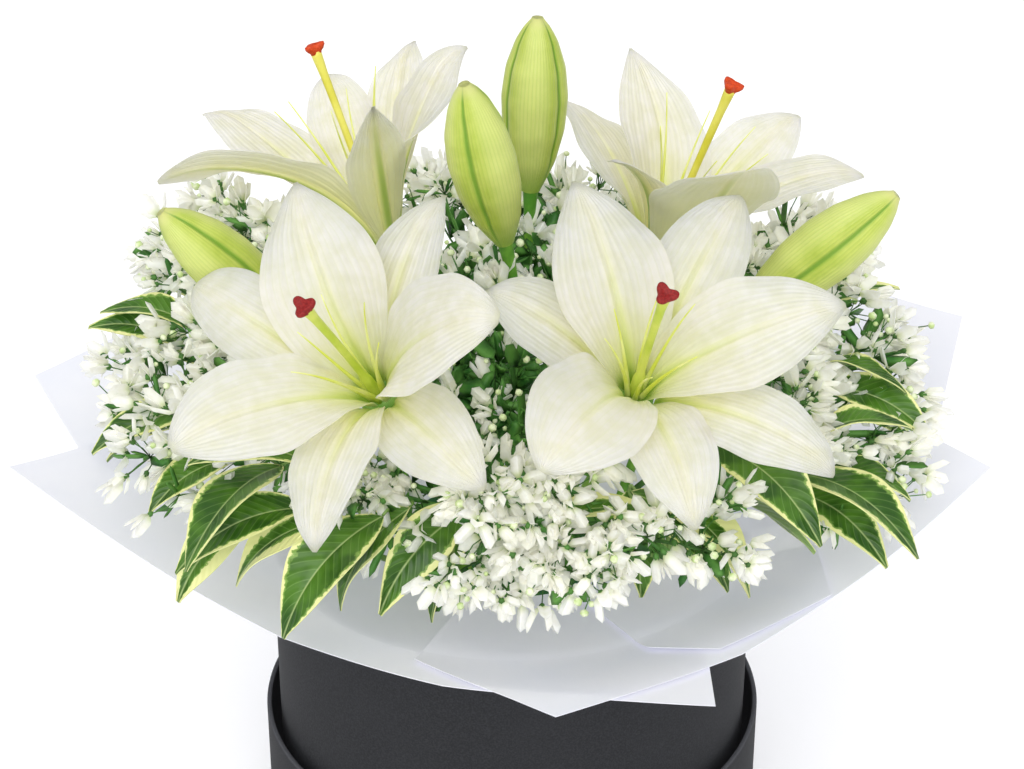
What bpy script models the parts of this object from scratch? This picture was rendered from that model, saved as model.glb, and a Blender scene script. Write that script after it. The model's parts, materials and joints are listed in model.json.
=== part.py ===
"""Lilies in a box: four open lilies and four buds with filler flowers and variegated leaves,
cut and pushed into wet floral foam in a round hat box, with a ruff of white paper under the
flowers and the box's own lid underneath it as a tray. Metres, +Z up, the front faces -Y, and
the origin is the centre of the tray's underside."""

import math

import bmesh
import bpy
import numpy as np
from mathutils import Matrix, Vector
from mathutils.bvhtree import BVHTree

MM = 0.001
GAP = 0.3 * MM  # between pieces that touch

# Holder
BOX_RADIUS = 118 * MM
BOX_HEIGHT = 152 * MM
BOARD = 2.5 * MM  # wall of the box and of the tray
BASE_BOARD = 3 * MM
TRAY_CLEARANCE = 4.5 * MM  # between the box and the wall of the tray
TRAY_HEIGHT = 60 * MM
RIM_ROUND = 0.6 * MM
LINER_WALL = 0.8 * MM
LINER_HEIGHT = 118 * MM
LINER_CLEARANCE = 0.8 * MM
FOAM_CLEARANCE = 0.5 * MM
FOAM_BELOW_RIM = 17 * MM
STEM_CLEARANCE = 0.4 * MM
STEM_DEPTH = 60 * MM  # how far the stems are pushed into the foam
STEM_SIDES = 8
STEM_LEAN = (0.28, 0.12)  # lean of a stem in the foam: outwards for each metre off centre, and up
LILY_SPREAD = 0.4  # where a stem enters the foam, as a share of how far out its top is
SPRAY_SPREAD = 0.5
SPRIG_SPREAD = 0.62

# Stems
LILY_STEM_RADIUS = 3.5 * MM
BUD_STEM_RADIUS = 2.5 * MM
SPRAY_STEM_RADIUS = 1.7 * MM
LEAF_STEM_RADIUS = 1.5 * MM

# Lily
TEPAL_THICKNESS = 1.0 * MM
CLAW_HALF_WIDTH = 2.6 * MM
INNER_HALF_WIDTH = 26 * MM
OUTER_HALF_WIDTH = 18 * MM
CUP_OUT = 0.25  # share of the lily's roundness that a tepal keeps across its outer part
CUP_TIP = 0.1  # and at its tip
RECEPTACLE_RADIUS = 9.5 * MM
RECEPTACLE_GAP = 0.9 * MM
RECEPTACLE_NECK = (16 * MM, 6 * MM)  # below the throat: the stem's end, and the swelling's start
STAMEN_RING_INNER = 2.8 * MM
STAMEN_RING_OUTER = 4.4 * MM
STAMEN_RING_HEIGHT = 2 * MM
FILAMENTS = 6
FILAMENT_LENGTH = 58 * MM
FILAMENT_RADII = np.array([0.75, 0.7, 0.6, 0.4]) * MM
PISTIL_CLEARANCE = 0.3 * MM
STIGMA_RADIUS = 4.6 * MM

# Bud
BUD_LENGTH = 88 * MM
BUD_RADIUS = 16.5 * MM
BUD_RIB = 0.05  # how far its three ribs stand out, as a share of its radius
BUD_SHAPE = (  # share of its length, share of its radius
    (0.05, 0.42),
    (0.18, 0.72),
    (0.36, 0.94),
    (0.55, 1.0),
    (0.72, 0.88),
    (0.87, 0.6),
    (0.97, 0.3),
    (1, 0.1),
)

# Filler and leaves
HEAD_RADIUS = 9 * MM
BRANCH_RADIUS = 0.9 * MM
LEAF_THICKNESS = 0.9 * MM
CLEAR = 1.2 * MM  # least space round a head, a branch or a leaf
LEAF_ARCH = 0.1  # how far a leaf arches, as a share of its length
LEAF_FOLD = 0.18  # how steeply its halves fold up from the midrib
HUB_REACH = 20 * MM  # how far from its wanted place each may be set, to be clear
HEAD_REACH = 34 * MM
LEAF_REACH = 26 * MM
GOLDEN_ANGLE = math.pi * (3 - math.sqrt(5))

# Paper
PAPER_THICKNESS = 0.8 * MM
PAPER_STEP = 1.7 * MM  # from one sheet up to the next
PAPER_TUCK = 18 * MM  # how far a sheet reaches in from the box's outside
PAPER_DROP = 12 * MM  # how far it dips there
PAPER_ABOVE_RIM = 1.2 * MM
PAPER_SLOPE = 0.36  # how steeply it rises outwards at the back
PAPER_SLOPE_FRONT = 0.10

TRAY_RADIUS = BOX_RADIUS + TRAY_CLEARANCE + BOARD
BOX_BOTTOM = BASE_BOARD + GAP
RIM = BOX_BOTTOM + BOX_HEIGHT
LINER_BOTTOM = BOX_BOTTOM + BASE_BOARD + GAP
FOAM_TOP = RIM - FOAM_BELOW_RIM

# Layers of the tepals of a lily: distance from the axis at the throat, and angle from it there.
LAYERS = {"inner": (5.0 * MM, 17), "outer": (7.4 * MM, 22), "low": (9.4 * MM, 26)}

# Each lily: throat (x, y, height above the rim) in mm, axis, pistil length in mm, and its tepals:
# name, layer, length in mm, azimuth at the throat and at the tip, angle from the axis at the tip,
# power of the opening along the length, further curl of the tip, and share of the usual width.
LILIES = {
    "front_left": {
        "throat": (-60, -60, 107),
        "axis": (-0.305, -0.539, 0.768),
        "pistil": 90,
        "tepals": (
            ("upper", "inner", 109, 96, 92, 95, 1.0, 15, 1.04),
            ("upper_left", "outer", 107, 145, 134, 115, 1.0, 15, 1.0),
            ("left", "inner", 110, 208, 202, 80, 1.0, 20, 1.0),
            ("lower_left", "outer", 103, 254, 250, 108, 1.0, 15, 0.95),
            ("lower_right", "low", 93, 302, 300, 120, 1.0, 15, 1.0),
            ("right", "inner", 118, 343, 339, 66, 0.9, 50, 0.98),
            ("upper_right", "outer", 100, 45, 49, 112, 1.0, 15, 0.95),
        ),
    },
    "front_right": {
        "throat": (55, -60, 107),
        "axis": (0.105, -0.535, 0.832),
        "pistil": 90,
        "tepals": (
            ("upper_left", "inner", 106, 120, 117, 95, 1.0, 15, 1.0),
            ("left", "outer", 86, 168, 160, 108, 1.0, 15, 1.0),
            ("lower_left", "inner", 106, 234, 238, 92, 1.0, 20, 0.98),
            ("lower", "outer", 98, 284, 286, 105, 1.0, 20, 1.0),
            ("lower_right", "low", 107, 328, 331, 110, 1.0, 40, 1.0),
            ("right", "inner", 110, 10, 16, 92, 1.0, 10, 0.96),
            ("upper_right", "outer", 110, 66, 66, 110, 1.0, 15, 1.05),
        ),
    },
    "back_left": {
        "throat": (-63, 75, 121),
        "axis": (-0.327, 0.195, 0.925),
        "pistil": 103,
        "tepals": (
            ("upper_right", "outer", 121, 56, 68, 70, 1.0, 20, 1.0),
            ("upper", "inner", 111, 106, 104, 68, 1.0, 10, 0.75),
            ("left", "outer", 120, 162, 150, 67, 1.0, 45, 1.0),
            ("lower_left", "inner", 124, 224, 203, 90, 1.1, 12, 0.75),
            ("near", "outer", 97, 292, 294, 50, 0.7, 10, 1.0),
            ("right", "inner", 106, -10, 27, 66, 1.0, 40, 0.8),
        ),
    },
    "back_right": {
        "throat": (71, 65, 114),
        "axis": (0.321, -0.094, 0.942),
        "pistil": 104,
        "tepals": (
            ("upper_left", "inner", 111, 108, 120, 72, 1.0, 12, 0.9),
            ("left", "outer", 99, 162, 146, 98, 1.0, 50, 0.85),
            ("lower_left", "inner", 98, 222, 222, 80, 1.5, 10, 0.55),
            ("near", "outer", 116, 285, 274, 40, 0.6, 30, 0.95),
            ("right", "inner", 115, -4, 8, 78, 1.2, 25, 0.78),
            ("upper_right", "outer", 113, 48, 53, 80, 1.0, 15, 1.0),
        ),
    },
}

# Each bud: on the side that faces the nearest lily, a point below the bud and one at its tip
# (x, y, height above the rim) in mm, and the way from that side to the bud's axis.
BUDS = {
    "centre_front": ((-1, -16.5, 145), (-21, -36.5, 241), (0, 1, 0)),
    "centre_back": ((9, 43.5, 155), (12, 43.5, 243), (0, 1, 0)),
    "left": ((-106.1, -13.2, 125), (-150.1, -23.2, 175), (-0.6, 0.8, 0)),
    "right": ((110.1, -13.2, 129), (166.1, -15.2, 180), (0.6, 0.8, 0)),
}

# Each spray of filler: where its branches start, the middle of its heads, two half-axes of the
# patch that the heads cover (x, y, height above the rim) in mm, and how many heads it has.
SPRAYS = {
    "left": ((-88, 4, 60), (-163, 8, 92), (2, 62, 18), (-16, -10, -42), 10),
    "back": ((4, 92, 62), (-2, 122, 138), (88, -4, -8), (0, -58, 34), 10),
    "right": ((92, 6, 60), (166, 0, 92), (-4, 62, 28), (22, 8, -40), 10),
    "front": ((4, -84, 42), (2, -132, 76), (66, 10, 2), (0, -22, -24), 10),
    "centre": ((-2, -14, 66), (0, -38, 118), (14, -40, -18), (-26, 24, 18), 8),
}

# Each sprig: where its leaf stalks start, then its leaves: base and tip as (azimuth in degrees,
# distance from the box's axis in mm, height above the paper there in mm), and half-width in mm.
SPRIGS = {
    "left": (
        (-108, -6, 34),
        (
            ((174, 160, 60), (173, 200, 66), 11),
            ((190, 160, 44), (189, 198, 34), 11),
            ((150, 150, 52), (147, 196, 44), 12),
            ((199, 150, 40), (203, 190, 24), 12),
            ((128, 140, 50), (126, 188, 42), 12),
        ),
    ),
    "front_left": (
        (-72, -72, 30),
        (
            ((242, 142, 62), (234, 172, 20), 13),
            ((230, 142, 56), (225, 174, 34), 12),
            ((220, 140, 54), (213, 178, 20), 12),
            ((250, 138, 58), (244, 166, 34), 12),
            ((259, 134, 62), (252, 164, 42), 11),
        ),
    ),
    "front_right": (
        (72, -76, 30),
        (
            ((297, 144, 62), (303, 172, 44), 13),
            ((305, 148, 56), (311, 180, 40), 12),
            ((311, 148, 72), (322, 178, 48), 14),
            ((284, 136, 58), (280, 162, 36), 11),
            ((320, 150, 56), (329, 182, 28), 12),
        ),
    ),
    "right": (
        (110, -8, 34),
        (
            ((330, 156, 50), (338, 200, 14), 13),
            ((346, 160, 56), (353, 200, 34), 12),
            ((2, 156, 58), (8, 204, 40), 11),
            ((28, 150, 56), (32, 198, 44), 12),
            ((50, 140, 52), (54, 186, 44), 12),
        ),
    ),
}

# Each sheet of paper: its level in the stack and its corners going round, as (azimuth in
# degrees, distance out from the box's wall in mm). Its edges run straight from corner to
# corner, and in to the box from the first and the last.
SHEETS = {
    "back_left": (0, ((84, 52), (112, 87), (150, 119), (164, 135), (178, 87))),
    "back_right": (1, ((-4, 62), (8, 95), (27, 148), (40, 137), (66, 87), (98, 52))),
    "front_left": (2, ((172, 88), (183, 124), (227, 35), (258, 29), (297, 74), (305, 34))),
    "front_right": (3, ((250, 10), (276, 60), (308, 48), (356, 112), (367, 88))),
    "fold_right": (4, ((298, 12), (306, 39), (328, 54), (344, 32))),
}

COLOURS = {  # sRGB, with roughness
    "black_board": ((0.05, 0.05, 0.055), 0.75),
    "foam": ((0.16, 0.36, 0.20), 0.95),
    "liner_film": ((0.75, 0.78, 0.78), 0.25),
    "white_paper": ((0.90, 0.90, 0.93), 0.7),
    "lily_tepal": ((0.96, 0.96, 0.90), 0.5),
    "lily_stem": ((0.36, 0.55, 0.20), 0.5),
    "lily_stamen": ((0.82, 0.88, 0.36), 0.5),
    "lily_pistil": ((0.76, 0.80, 0.25), 0.4),
    "bud_green": ((0.66, 0.78, 0.34), 0.45),
    "filler": ((0.88, 0.91, 0.85), 0.6),
    "leaf_green": ((0.17, 0.36, 0.12), 0.4),
}


# ---------------------------------------------------------------- materials and objects


def linear(value):
    return value / 12.92 if value <= 0.04045 else ((value + 0.055) / 1.055) ** 2.4


def material_of(name):
    """Principled material of a finish, made once."""
    found = bpy.data.materials.get(name)
    if found:
        return found
    colour, roughness = COLOURS[name]
    material = bpy.data.materials.new(name)
    material.use_nodes = True
    shader = material.node_tree.nodes["Principled BSDF"]
    shader.inputs["Base Color"].default_value = (*map(linear, colour), 1)
    shader.inputs["Roughness"].default_value = roughness
    shader.inputs["Metallic"].default_value = 0
    return material


def clear_scene():
    for obj in list(bpy.data.objects):
        bpy.data.objects.remove(obj, do_unlink=True)


def collection_of(name, hidden=False):
    found = bpy.data.collections.get(name)
    if not found:
        found = bpy.data.collections.new(name)
        bpy.context.scene.collection.children.link(found)
        found.hide_render = hidden
    return found


def add_object(name, data, finish=None):
    """A part in the model's collection, or a helper outside it if it has no finish."""
    obj = bpy.data.objects.new(name, data)
    if finish:
        data.materials.append(material_of(finish))
        collection_of("lilies_in_a_box").objects.link(obj)
    else:
        obj.hide_render = True
        obj.display_type = "WIRE"
        collection_of("helpers", hidden=True).objects.link(obj)
    return obj


def evaluated_mesh(obj):
    """The object's mesh with its modifiers applied, welded."""
    bpy.context.view_layer.update()
    graph = bpy.context.evaluated_depsgraph_get()
    mesh = bpy.data.meshes.new_from_object(obj.evaluated_get(graph), depsgraph=graph)
    mesh.transform(obj.matrix_world)
    shape = bmesh.new()
    shape.from_mesh(mesh)
    bmesh.ops.remove_doubles(shape, verts=shape.verts, dist=0.002 * MM)
    shape.to_mesh(mesh)
    shape.free()
    return mesh


def made_mesh(obj, name, finish=None):
    """Replaces a curve, or an object with modifiers, by its plain mesh."""
    mesh = evaluated_mesh(obj)
    mesh.materials.clear()
    bpy.data.objects.remove(obj, do_unlink=True)
    return add_object(name, mesh, finish)


def union(name, pieces, finish):
    """One body from overlapping meshes."""
    first, others = pieces[0], pieces[1:]
    group = bpy.data.collections.new(name + "_joined")
    for other in others:
        group.objects.link(other)
    join = first.modifiers.new("join", "BOOLEAN")
    join.operation = "UNION"
    join.solver = "EXACT"
    join.operand_type = "COLLECTION"
    join.collection = group
    joined = made_mesh(first, name, finish)
    for other in others:
        bpy.data.objects.remove(other, do_unlink=True)
    bpy.data.collections.remove(group)
    return joined


# ---------------------------------------------------------------- shapes


def turned(name, profile, steps, finish):
    """A profile of (radius, height) turned round the Z axis. It runs down its outer side."""
    mesh = bpy.data.meshes.new(name)
    points = [(radius, 0, height) for radius, height in profile]
    mesh.from_pydata(points, [(i, i + 1) for i in range(len(points) - 1)], [])
    obj = add_object(name, mesh, finish)
    screw = obj.modifiers.new("turn", "SCREW")
    screw.axis = "Z"
    screw.steps = screw.render_steps = steps
    screw.use_merge_vertices = True
    screw.merge_threshold = 0.00001
    mesh.shade_smooth()
    mesh.set_sharp_from_angle(angle=math.radians(35))
    return obj


def cup(name, radius, height, wall, floor, bottom, finish, steps=48):
    """A round open cup with a softened rim, standing at the height of its bottom."""
    top = bottom + height
    profile = [
        (0, bottom + floor),
        (radius - wall, bottom + floor),
        (radius - wall, top - RIM_ROUND),
        (radius - wall + RIM_ROUND, top),
        (radius - RIM_ROUND, top),
        (radius, top - RIM_ROUND),
        (radius, bottom),
        (0, bottom),
    ]
    if wall < 3 * RIM_ROUND:
        profile[2:6] = [(radius - wall, top), (radius, top)]
    return turned(name, profile, steps, finish)


def tube(name, points, radii, sides=STEM_SIDES, finish=None):
    """A round bar through points, with its own radius at each, closed by flat caps."""
    curve = bpy.data.curves.new(name, "CURVE")
    curve.dimensions = "3D"
    curve.bevel_depth = 1
    curve.bevel_resolution = sides // 2 - 2
    curve.use_fill_caps = True
    spline = curve.splines.new("POLY")
    spline.points.add(len(points) - 1)
    for place, point, radius in zip(spline.points, points, radii):
        place.co = (*point, 1)
        place.radius = radius
    return made_mesh(add_object(name, curve), name, finish)


def sheet(name, points, thickness, finish=None):
    """A grid of points (rows, columns, 3) thickened on the side away from its normals, which
    point the way of the rows' direction crossed with the columns' direction."""
    rows, columns = points.shape[:2]
    index = np.arange(rows * columns).reshape(rows, columns)
    corners = (index[:-1, :-1], index[:-1, 1:], index[1:, 1:], index[1:, :-1])
    a, b, c, d = (corner.ravel() for corner in corners)
    faces = np.concatenate([np.stack([a, c, b], 1), np.stack([a, d, c], 1)])
    mesh = bpy.data.meshes.new(name)
    mesh.from_pydata(points.reshape(-1, 3).tolist(), [], faces.tolist())
    obj = add_object(name, mesh, finish)
    solid = obj.modifiers.new("thickness", "SOLIDIFY")
    solid.thickness = thickness
    solid.offset = -1
    mesh.shade_smooth()
    return obj


def loft(name, path, radii, section, finish):
    """A section (share of the radius by angle) carried along a path and closed at both ends."""
    path = np.array(path)
    sides = len(section)
    along = np.gradient(path, axis=0)
    along /= np.linalg.norm(along, axis=1, keepdims=True)
    across = np.cross(along, (0.0, 1.0, 0.0))
    across /= np.linalg.norm(across, axis=1, keepdims=True)
    up = np.cross(across, along)
    angle = np.arange(sides) * 2 * math.pi / sides
    ring = across[:, None] * np.cos(angle)[:, None] + up[:, None] * np.sin(angle)[:, None]
    points = path[:, None] + ring * np.array(section)[:, None] * np.array(radii)[:, None, None]
    rows = len(path)
    index = np.arange(rows * sides).reshape(rows, sides)
    after = np.roll(index, -1, axis=1)
    quads = np.stack([index[:-1], after[:-1], after[1:], index[1:]], -1).reshape(-1, 4)
    faces = quads.tolist() + [index[0][::-1].tolist(), index[-1].tolist()]
    mesh = bpy.data.meshes.new(name)
    mesh.from_pydata(points.reshape(-1, 3).tolist(), [], faces)
    shape = bmesh.new()
    shape.from_mesh(mesh)
    bmesh.ops.recalc_face_normals(shape, faces=shape.faces)
    shape.to_mesh(mesh)
    shape.free()
    mesh.shade_smooth()
    return add_object(name, mesh, finish)


def bent(start, start_way, end, end_way, count, pull=0.4):
    """Points on a smooth curve that leaves start one way and arrives at end another way."""
    start, end = Vector(start), Vector(end)
    reach = (end - start).length * pull
    handle_a = start + Vector(start_way).normalized() * reach
    handle_b = end - Vector(end_way).normalized() * reach
    points = []
    for i in range(count):
        t = i / (count - 1)
        u = 1 - t
        points.append(
            start * u**3 + handle_a * 3 * u * u * t + handle_b * 3 * u * t * t + end * t**3
        )
    return points


# ---------------------------------------------------------------- the holder


def build_holder():
    cup("lid_tray", TRAY_RADIUS, TRAY_HEIGHT, BOARD, BASE_BOARD, 0, "black_board")
    cup("box", BOX_RADIUS, BOX_HEIGHT, BOARD, BASE_BOARD, BOX_BOTTOM, "black_board")
    liner_radius = BOX_RADIUS - BOARD - LINER_CLEARANCE
    wall = LINER_WALL
    cup("foam_liner", liner_radius, LINER_HEIGHT, wall, wall, LINER_BOTTOM, "liner_film")
    radius = liner_radius - LINER_WALL - FOAM_CLEARANCE
    bottom = LINER_BOTTOM + LINER_WALL + GAP
    edge = 2 * MM
    profile = [(0, FOAM_TOP), (radius - edge, FOAM_TOP), (radius, FOAM_TOP - edge)]
    profile += [(radius, bottom), (0, bottom)]
    return turned("floral_foam", profile, 40, "foam")


def stem_path(base, way, spread, count):
    """Points from a stem's cut end up to base, straight while it is in the foam."""
    base = Vector(base)
    entry = Vector((base.x * spread, base.y * spread, FOAM_TOP))
    outwards, up = STEM_LEAN
    lean = Vector((base.x * outwards, base.y * outwards, up)).normalized()
    out = entry + lean * 6 * MM
    return [entry - lean * STEM_DEPTH] + bent(out, lean, base, way, count)


class Foam:
    """The foam, and the stems pushed into it."""

    def __init__(self, obj):
        self.obj = obj
        self.holes = bpy.data.collections.new("stem_holes")

    def stem(self, base, way, radius, spread=LILY_SPREAD, count=7):
        """Bores a hole for a stem, and gives the points on the stem."""
        path = stem_path(base, way, spread, count)
        foot, out = path[:2]
        lean = (out - foot).normalized()
        hole_radius = (radius + STEM_CLEARANCE) / math.cos(math.pi / STEM_SIDES)
        self.bore(foot - lean * GAP * 2, out, hole_radius)
        return path

    def bore(self, low, high, radius):
        mesh = bpy.data.meshes.new("stem_hole")
        shape = bmesh.new()
        length = (high - low).length
        bmesh.ops.create_cone(
            shape,
            cap_ends=True,
            segments=STEM_SIDES,
            radius1=radius,
            radius2=radius,
            depth=length,
        )
        shape.to_mesh(mesh)
        shape.free()
        hole = add_object("stem_hole", mesh)
        hole.location = (low + high) / 2
        hole.rotation_mode = "QUATERNION"
        hole.rotation_quaternion = (high - low).to_track_quat("Z", "Y")
        self.holes.objects.link(hole)

    def cut(self):
        cut = self.obj.modifiers.new("stem_holes", "BOOLEAN")
        cut.operation = "DIFFERENCE"
        cut.solver = "EXACT"
        cut.operand_type = "COLLECTION"
        cut.collection = self.holes
        made_mesh(self.obj, "floral_foam", "foam")


# ---------------------------------------------------------------- the lilies


def axis_frame(axis):
    """Columns x, y and z of a frame whose z is the axis and whose y leans to the world's +Y."""
    z = np.array(axis, float)
    z /= np.linalg.norm(z)
    y = np.array((0.0, 1.0, 0.0))
    y -= (y @ z) * z
    y /= np.linalg.norm(y)
    return np.stack([np.cross(y, z), y, z], 1)


def half_width(share, widest):
    """Half the width of a tepal at a share of its length: narrow claw, widest past the middle."""
    rise, fall = 1.2, 0.8
    peak = rise / (rise + fall)
    top = peak**rise * (1 - peak) ** fall
    body = share**rise * (1 - share) ** fall / top
    return CLAW_HALF_WIDTH * (1 - share) + widest * body


def tepal_points(layer, length, base_azimuth, tip_azimuth, opening, power, curl, widest):
    """A tepal in its lily's frame: a midrib that opens from the axis, and arcs across it."""
    start, lean = LAYERS[layer]
    share = np.array([0, 0.12, 0.28, 0.46, 0.66, 0.85, 0.98])
    fine = np.linspace(0, 1, 81)
    angle = lean + (opening - lean) * fine**power + curl * np.clip((fine - 0.75) / 0.25, 0, 1) ** 2
    angle = np.radians(angle)
    step = length / (len(fine) - 1)
    middle = (angle[1:] + angle[:-1]) / 2
    out = start + np.concatenate([[0], np.cumsum(np.sin(middle) * step)])
    up = np.concatenate([[0], np.cumsum(np.cos(middle) * step)])
    out, up, angle = (np.interp(share, fine, values) for values in (out, up, angle))
    blend = share * share * (3 - 2 * share)
    azimuth = np.radians(base_azimuth + (tip_azimuth - base_azimuth) * blend)
    wrap = np.interp(share, [0, 0.35, 0.8, 1], [1.0, 1.0, CUP_OUT, CUP_TIP])
    bend = np.maximum(wrap * np.maximum(np.cos(angle), 0.12) / out, 0.5)
    across = np.linspace(-1, 1, 5)
    turn = bend[:, None] * half_width(share, widest)[:, None] * across
    side = np.sin(turn) / bend[:, None]
    lift = (1 - np.cos(turn)) / bend[:, None]
    radial = np.stack([np.cos(azimuth), np.sin(azimuth), 0 * azimuth], 1)
    sideways = np.stack([-np.sin(azimuth), np.cos(azimuth), 0 * azimuth], 1)
    axial = np.array((0.0, 0.0, 1.0))
    rib = radial * out[:, None] + axial * up[:, None]
    inward = -radial * np.cos(angle)[:, None] + axial * np.sin(angle)[:, None]
    return rib[:, None] + sideways[:, None] * side[..., None] + inward[:, None] * lift[..., None]


def placed(points, throat, frame):
    return points @ frame.T + throat


def build_stamens(name, throat, frame):
    """Filaments that stand on one ring round the pistil's foot and splay out."""
    ring = [
        (STAMEN_RING_INNER, STAMEN_RING_HEIGHT),
        (STAMEN_RING_OUTER, STAMEN_RING_HEIGHT),
        (STAMEN_RING_OUTER, 0),
        (STAMEN_RING_INNER, 0),
        (STAMEN_RING_INNER, STAMEN_RING_HEIGHT),
    ]
    base = made_mesh(turned(name, ring, 12, None), name)
    base.data.transform(matrix_of(frame, throat))
    pieces = [base]
    foot = (STAMEN_RING_INNER + STAMEN_RING_OUTER) / 2
    for i in range(FILAMENTS):
        azimuth = 2 * math.pi * (i + 0.5) / FILAMENTS
        share = np.linspace(0, 1, len(FILAMENT_RADII))
        out = foot + FILAMENT_LENGTH * (0.17 * share + 0.13 * share**2)
        up = STAMEN_RING_HEIGHT / 3 + FILAMENT_LENGTH * share * 0.96
        points = np.stack([out * math.cos(azimuth), out * math.sin(azimuth), up], 1)
        path = placed(points, throat, frame)
        pieces.append(tube(name + "_filament", path, FILAMENT_RADII, sides=4))
    return union(name, pieces, "lily_stamen")


def matrix_of(frame, place):
    """The 4 x 4 matrix of a frame of columns at a place."""
    rows = [[*frame[i], place[i]] for i in range(3)]
    return Matrix([*rows, [0, 0, 0, 1]])


def build_lily(name, lily, foam):
    x, y, above = lily["throat"]
    throat = np.array((x * MM, y * MM, RIM + above * MM))
    frame = axis_frame(lily["axis"])
    axis = frame[:, 2]
    below, swelling = RECEPTACLE_NECK
    path = foam.stem(throat - axis * below, axis, LILY_STEM_RADIUS)
    path += [Vector(throat - axis * swelling), Vector(throat - axis * RECEPTACLE_GAP)]
    radii = [LILY_STEM_RADIUS] * (len(path) - 2) + [RECEPTACLE_RADIUS * 0.62, RECEPTACLE_RADIUS]
    tube(f"lily_{name}_stem", path, radii, finish="lily_stem")
    for part, layer, length, at_throat, at_tip, opening, power, curl, share in lily["tepals"]:
        widest = (INNER_HALF_WIDTH if layer == "inner" else OUTER_HALF_WIDTH) * share
        points = tepal_points(layer, length * MM, at_throat, at_tip, opening, power, curl, widest)
        label = f"lily_{name}_tepal_{part}"
        sheet(label, placed(points, throat, frame), TEPAL_THICKNESS, "lily_tepal")
    build_stamens(f"lily_{name}_stamens", throat, frame)
    build_pistil(f"lily_{name}_pistil", throat, axis, lily["pistil"] * MM)


def build_pistil(name, throat, axis, length):
    """Ovary, style and three-lobed stigma in one turned bar."""
    foot = STAMEN_RING_INNER - PISTIL_CLEARANCE
    share = [0, 0.2, 0.25, 0.6, 0.9, 0.95, 0.985, 1]
    radii = [foot, foot, 1.5 * MM, 1.6 * MM, 2 * MM, 2.8 * MM, STIGMA_RADIUS, STIGMA_RADIUS * 0.8]
    points = [Vector(throat + axis * (length * s)) for s in share]
    tube(name, points, radii, finish="lily_pistil")


def build_bud(name, below, tip, away, foam):
    """A closed lily bud, three-sided with round corners, on its own stem."""
    to_axis = Vector(away) * BUD_RADIUS
    below, tip = above_rim(below) + to_axis, above_rim(tip) + to_axis
    way = (tip - below).normalized()
    base = tip - way * BUD_LENGTH
    path = foam.stem(base, way, BUD_STEM_RADIUS)
    radii = [BUD_STEM_RADIUS] * (len(path) - 1) + [BUD_STEM_RADIUS * 1.4]
    for share, width in BUD_SHAPE:
        path.append(base + way * BUD_LENGTH * share)
        radii.append(BUD_RADIUS * width)
    angle = np.arange(12) * math.pi / 6
    section = 1 + BUD_RIB * np.cos(3 * angle)
    loft(name, path, radii, section, "bud_green")


# ---------------------------------------------------------------- the paper ruff


def paper_height(radius, azimuth):
    """Underside of the lowest sheet: it dips inside the box and rises outwards, least in front."""
    front = (1 - np.sin(azimuth)) / 2
    slope = PAPER_SLOPE - (PAPER_SLOPE - PAPER_SLOPE_FRONT) * front**2
    beyond = np.maximum(radius - BOX_RADIUS, 0)
    inside = np.clip((BOX_RADIUS - 3 * MM - radius) / (PAPER_TUCK - 3 * MM), 0, 1)
    return RIM + PAPER_ABOVE_RIM + slope * beyond - PAPER_DROP * inside


def paper_top(radius, azimuth):
    """Upper side of the whole stack."""
    return paper_height(radius, azimuth) + (len(SHEETS) - 1) * PAPER_STEP + PAPER_THICKNESS


def straight_edge(azimuths, corners):
    """Distance from the axis, at each azimuth, of the straight edges through the corners."""
    angles = np.radians([corner[0] for corner in corners])
    radii = BOX_RADIUS + np.array([corner[1] for corner in corners]) * MM
    place = np.clip(np.searchsorted(angles, azimuths, side="right") - 1, 0, len(angles) - 2)
    a0, a1, r0, r1 = angles[place], angles[place + 1], radii[place], radii[place + 1]
    return r0 * r1 * np.sin(a1 - a0) / (r0 * np.sin(azimuths - a0) + r1 * np.sin(a1 - azimuths))


def build_paper(name, level, corners):
    low, high = corners[0][0], corners[-1][0]
    lattice = np.arange(math.ceil(low / 10) * 10, high, 10)
    azimuths = np.unique(np.concatenate([lattice, [corner[0] for corner in corners]]))
    azimuths = np.radians(azimuths)
    edge = straight_edge(azimuths, corners)
    near = BOX_RADIUS + np.array([-PAPER_TUCK, -10 * MM, -3 * MM, 3 * MM])
    inner = np.broadcast_to(near[:, None], (len(near), len(azimuths)))
    outer = near[-1] + np.array([0.5, 1.0])[:, None] * (edge - near[-1])
    radius = np.concatenate([inner, outer])
    height = paper_height(radius, azimuths[None]) + level * PAPER_STEP
    points = np.stack([radius * np.cos(azimuths), radius * np.sin(azimuths), height], -1)
    sheet(name, points[:, ::-1], PAPER_THICKNESS, "white_paper")


# ---------------------------------------------------------------- filler and leaves


class Space:
    """What is already in place, so that a head or a leaf can be set clear of it."""

    def __init__(self):
        self.trees = []

    def add(self, obj):
        mesh = evaluated_mesh(obj)
        mesh.calc_loop_triangles()
        points = [vertex.co.copy() for vertex in mesh.vertices]
        faces = [tuple(face.vertices) for face in mesh.loop_triangles]
        self.trees.append(BVHTree.FromPolygons(points, faces))
        bpy.data.meshes.remove(mesh)

    def room(self, point, limit):
        """Distance to the nearest piece, up to a limit."""
        near = limit
        for tree in self.trees:
            distance = tree.find_nearest(point, near)[3]
            if distance is not None:
                near = min(near, distance)
        return near

    def margin(self, samples):
        """Least space left over (point, radius) samples; negative where one is too near."""
        least = CLEAR
        for point, radius in samples:
            least = min(least, self.room(point, radius + CLEAR) - radius - CLEAR)
            if least < -CLEAR - radius:
                break
        return least


def shells(reach, rings=9, each=14):
    """Offsets from nothing outwards, evenly round a ball, for trying places near a wanted one."""
    offsets = [Vector((0, 0, 0))]
    for ring in range(1, rings + 1):
        for i in range(each):
            z = 1 - (2 * i + 1) / each
            angle = i * GOLDEN_ANGLE + ring
            flat = math.sqrt(1 - z * z)
            way = Vector((flat * math.cos(angle), flat * math.sin(angle), z))
            offsets.append(way * reach * ring / rings)
    return offsets


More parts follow.
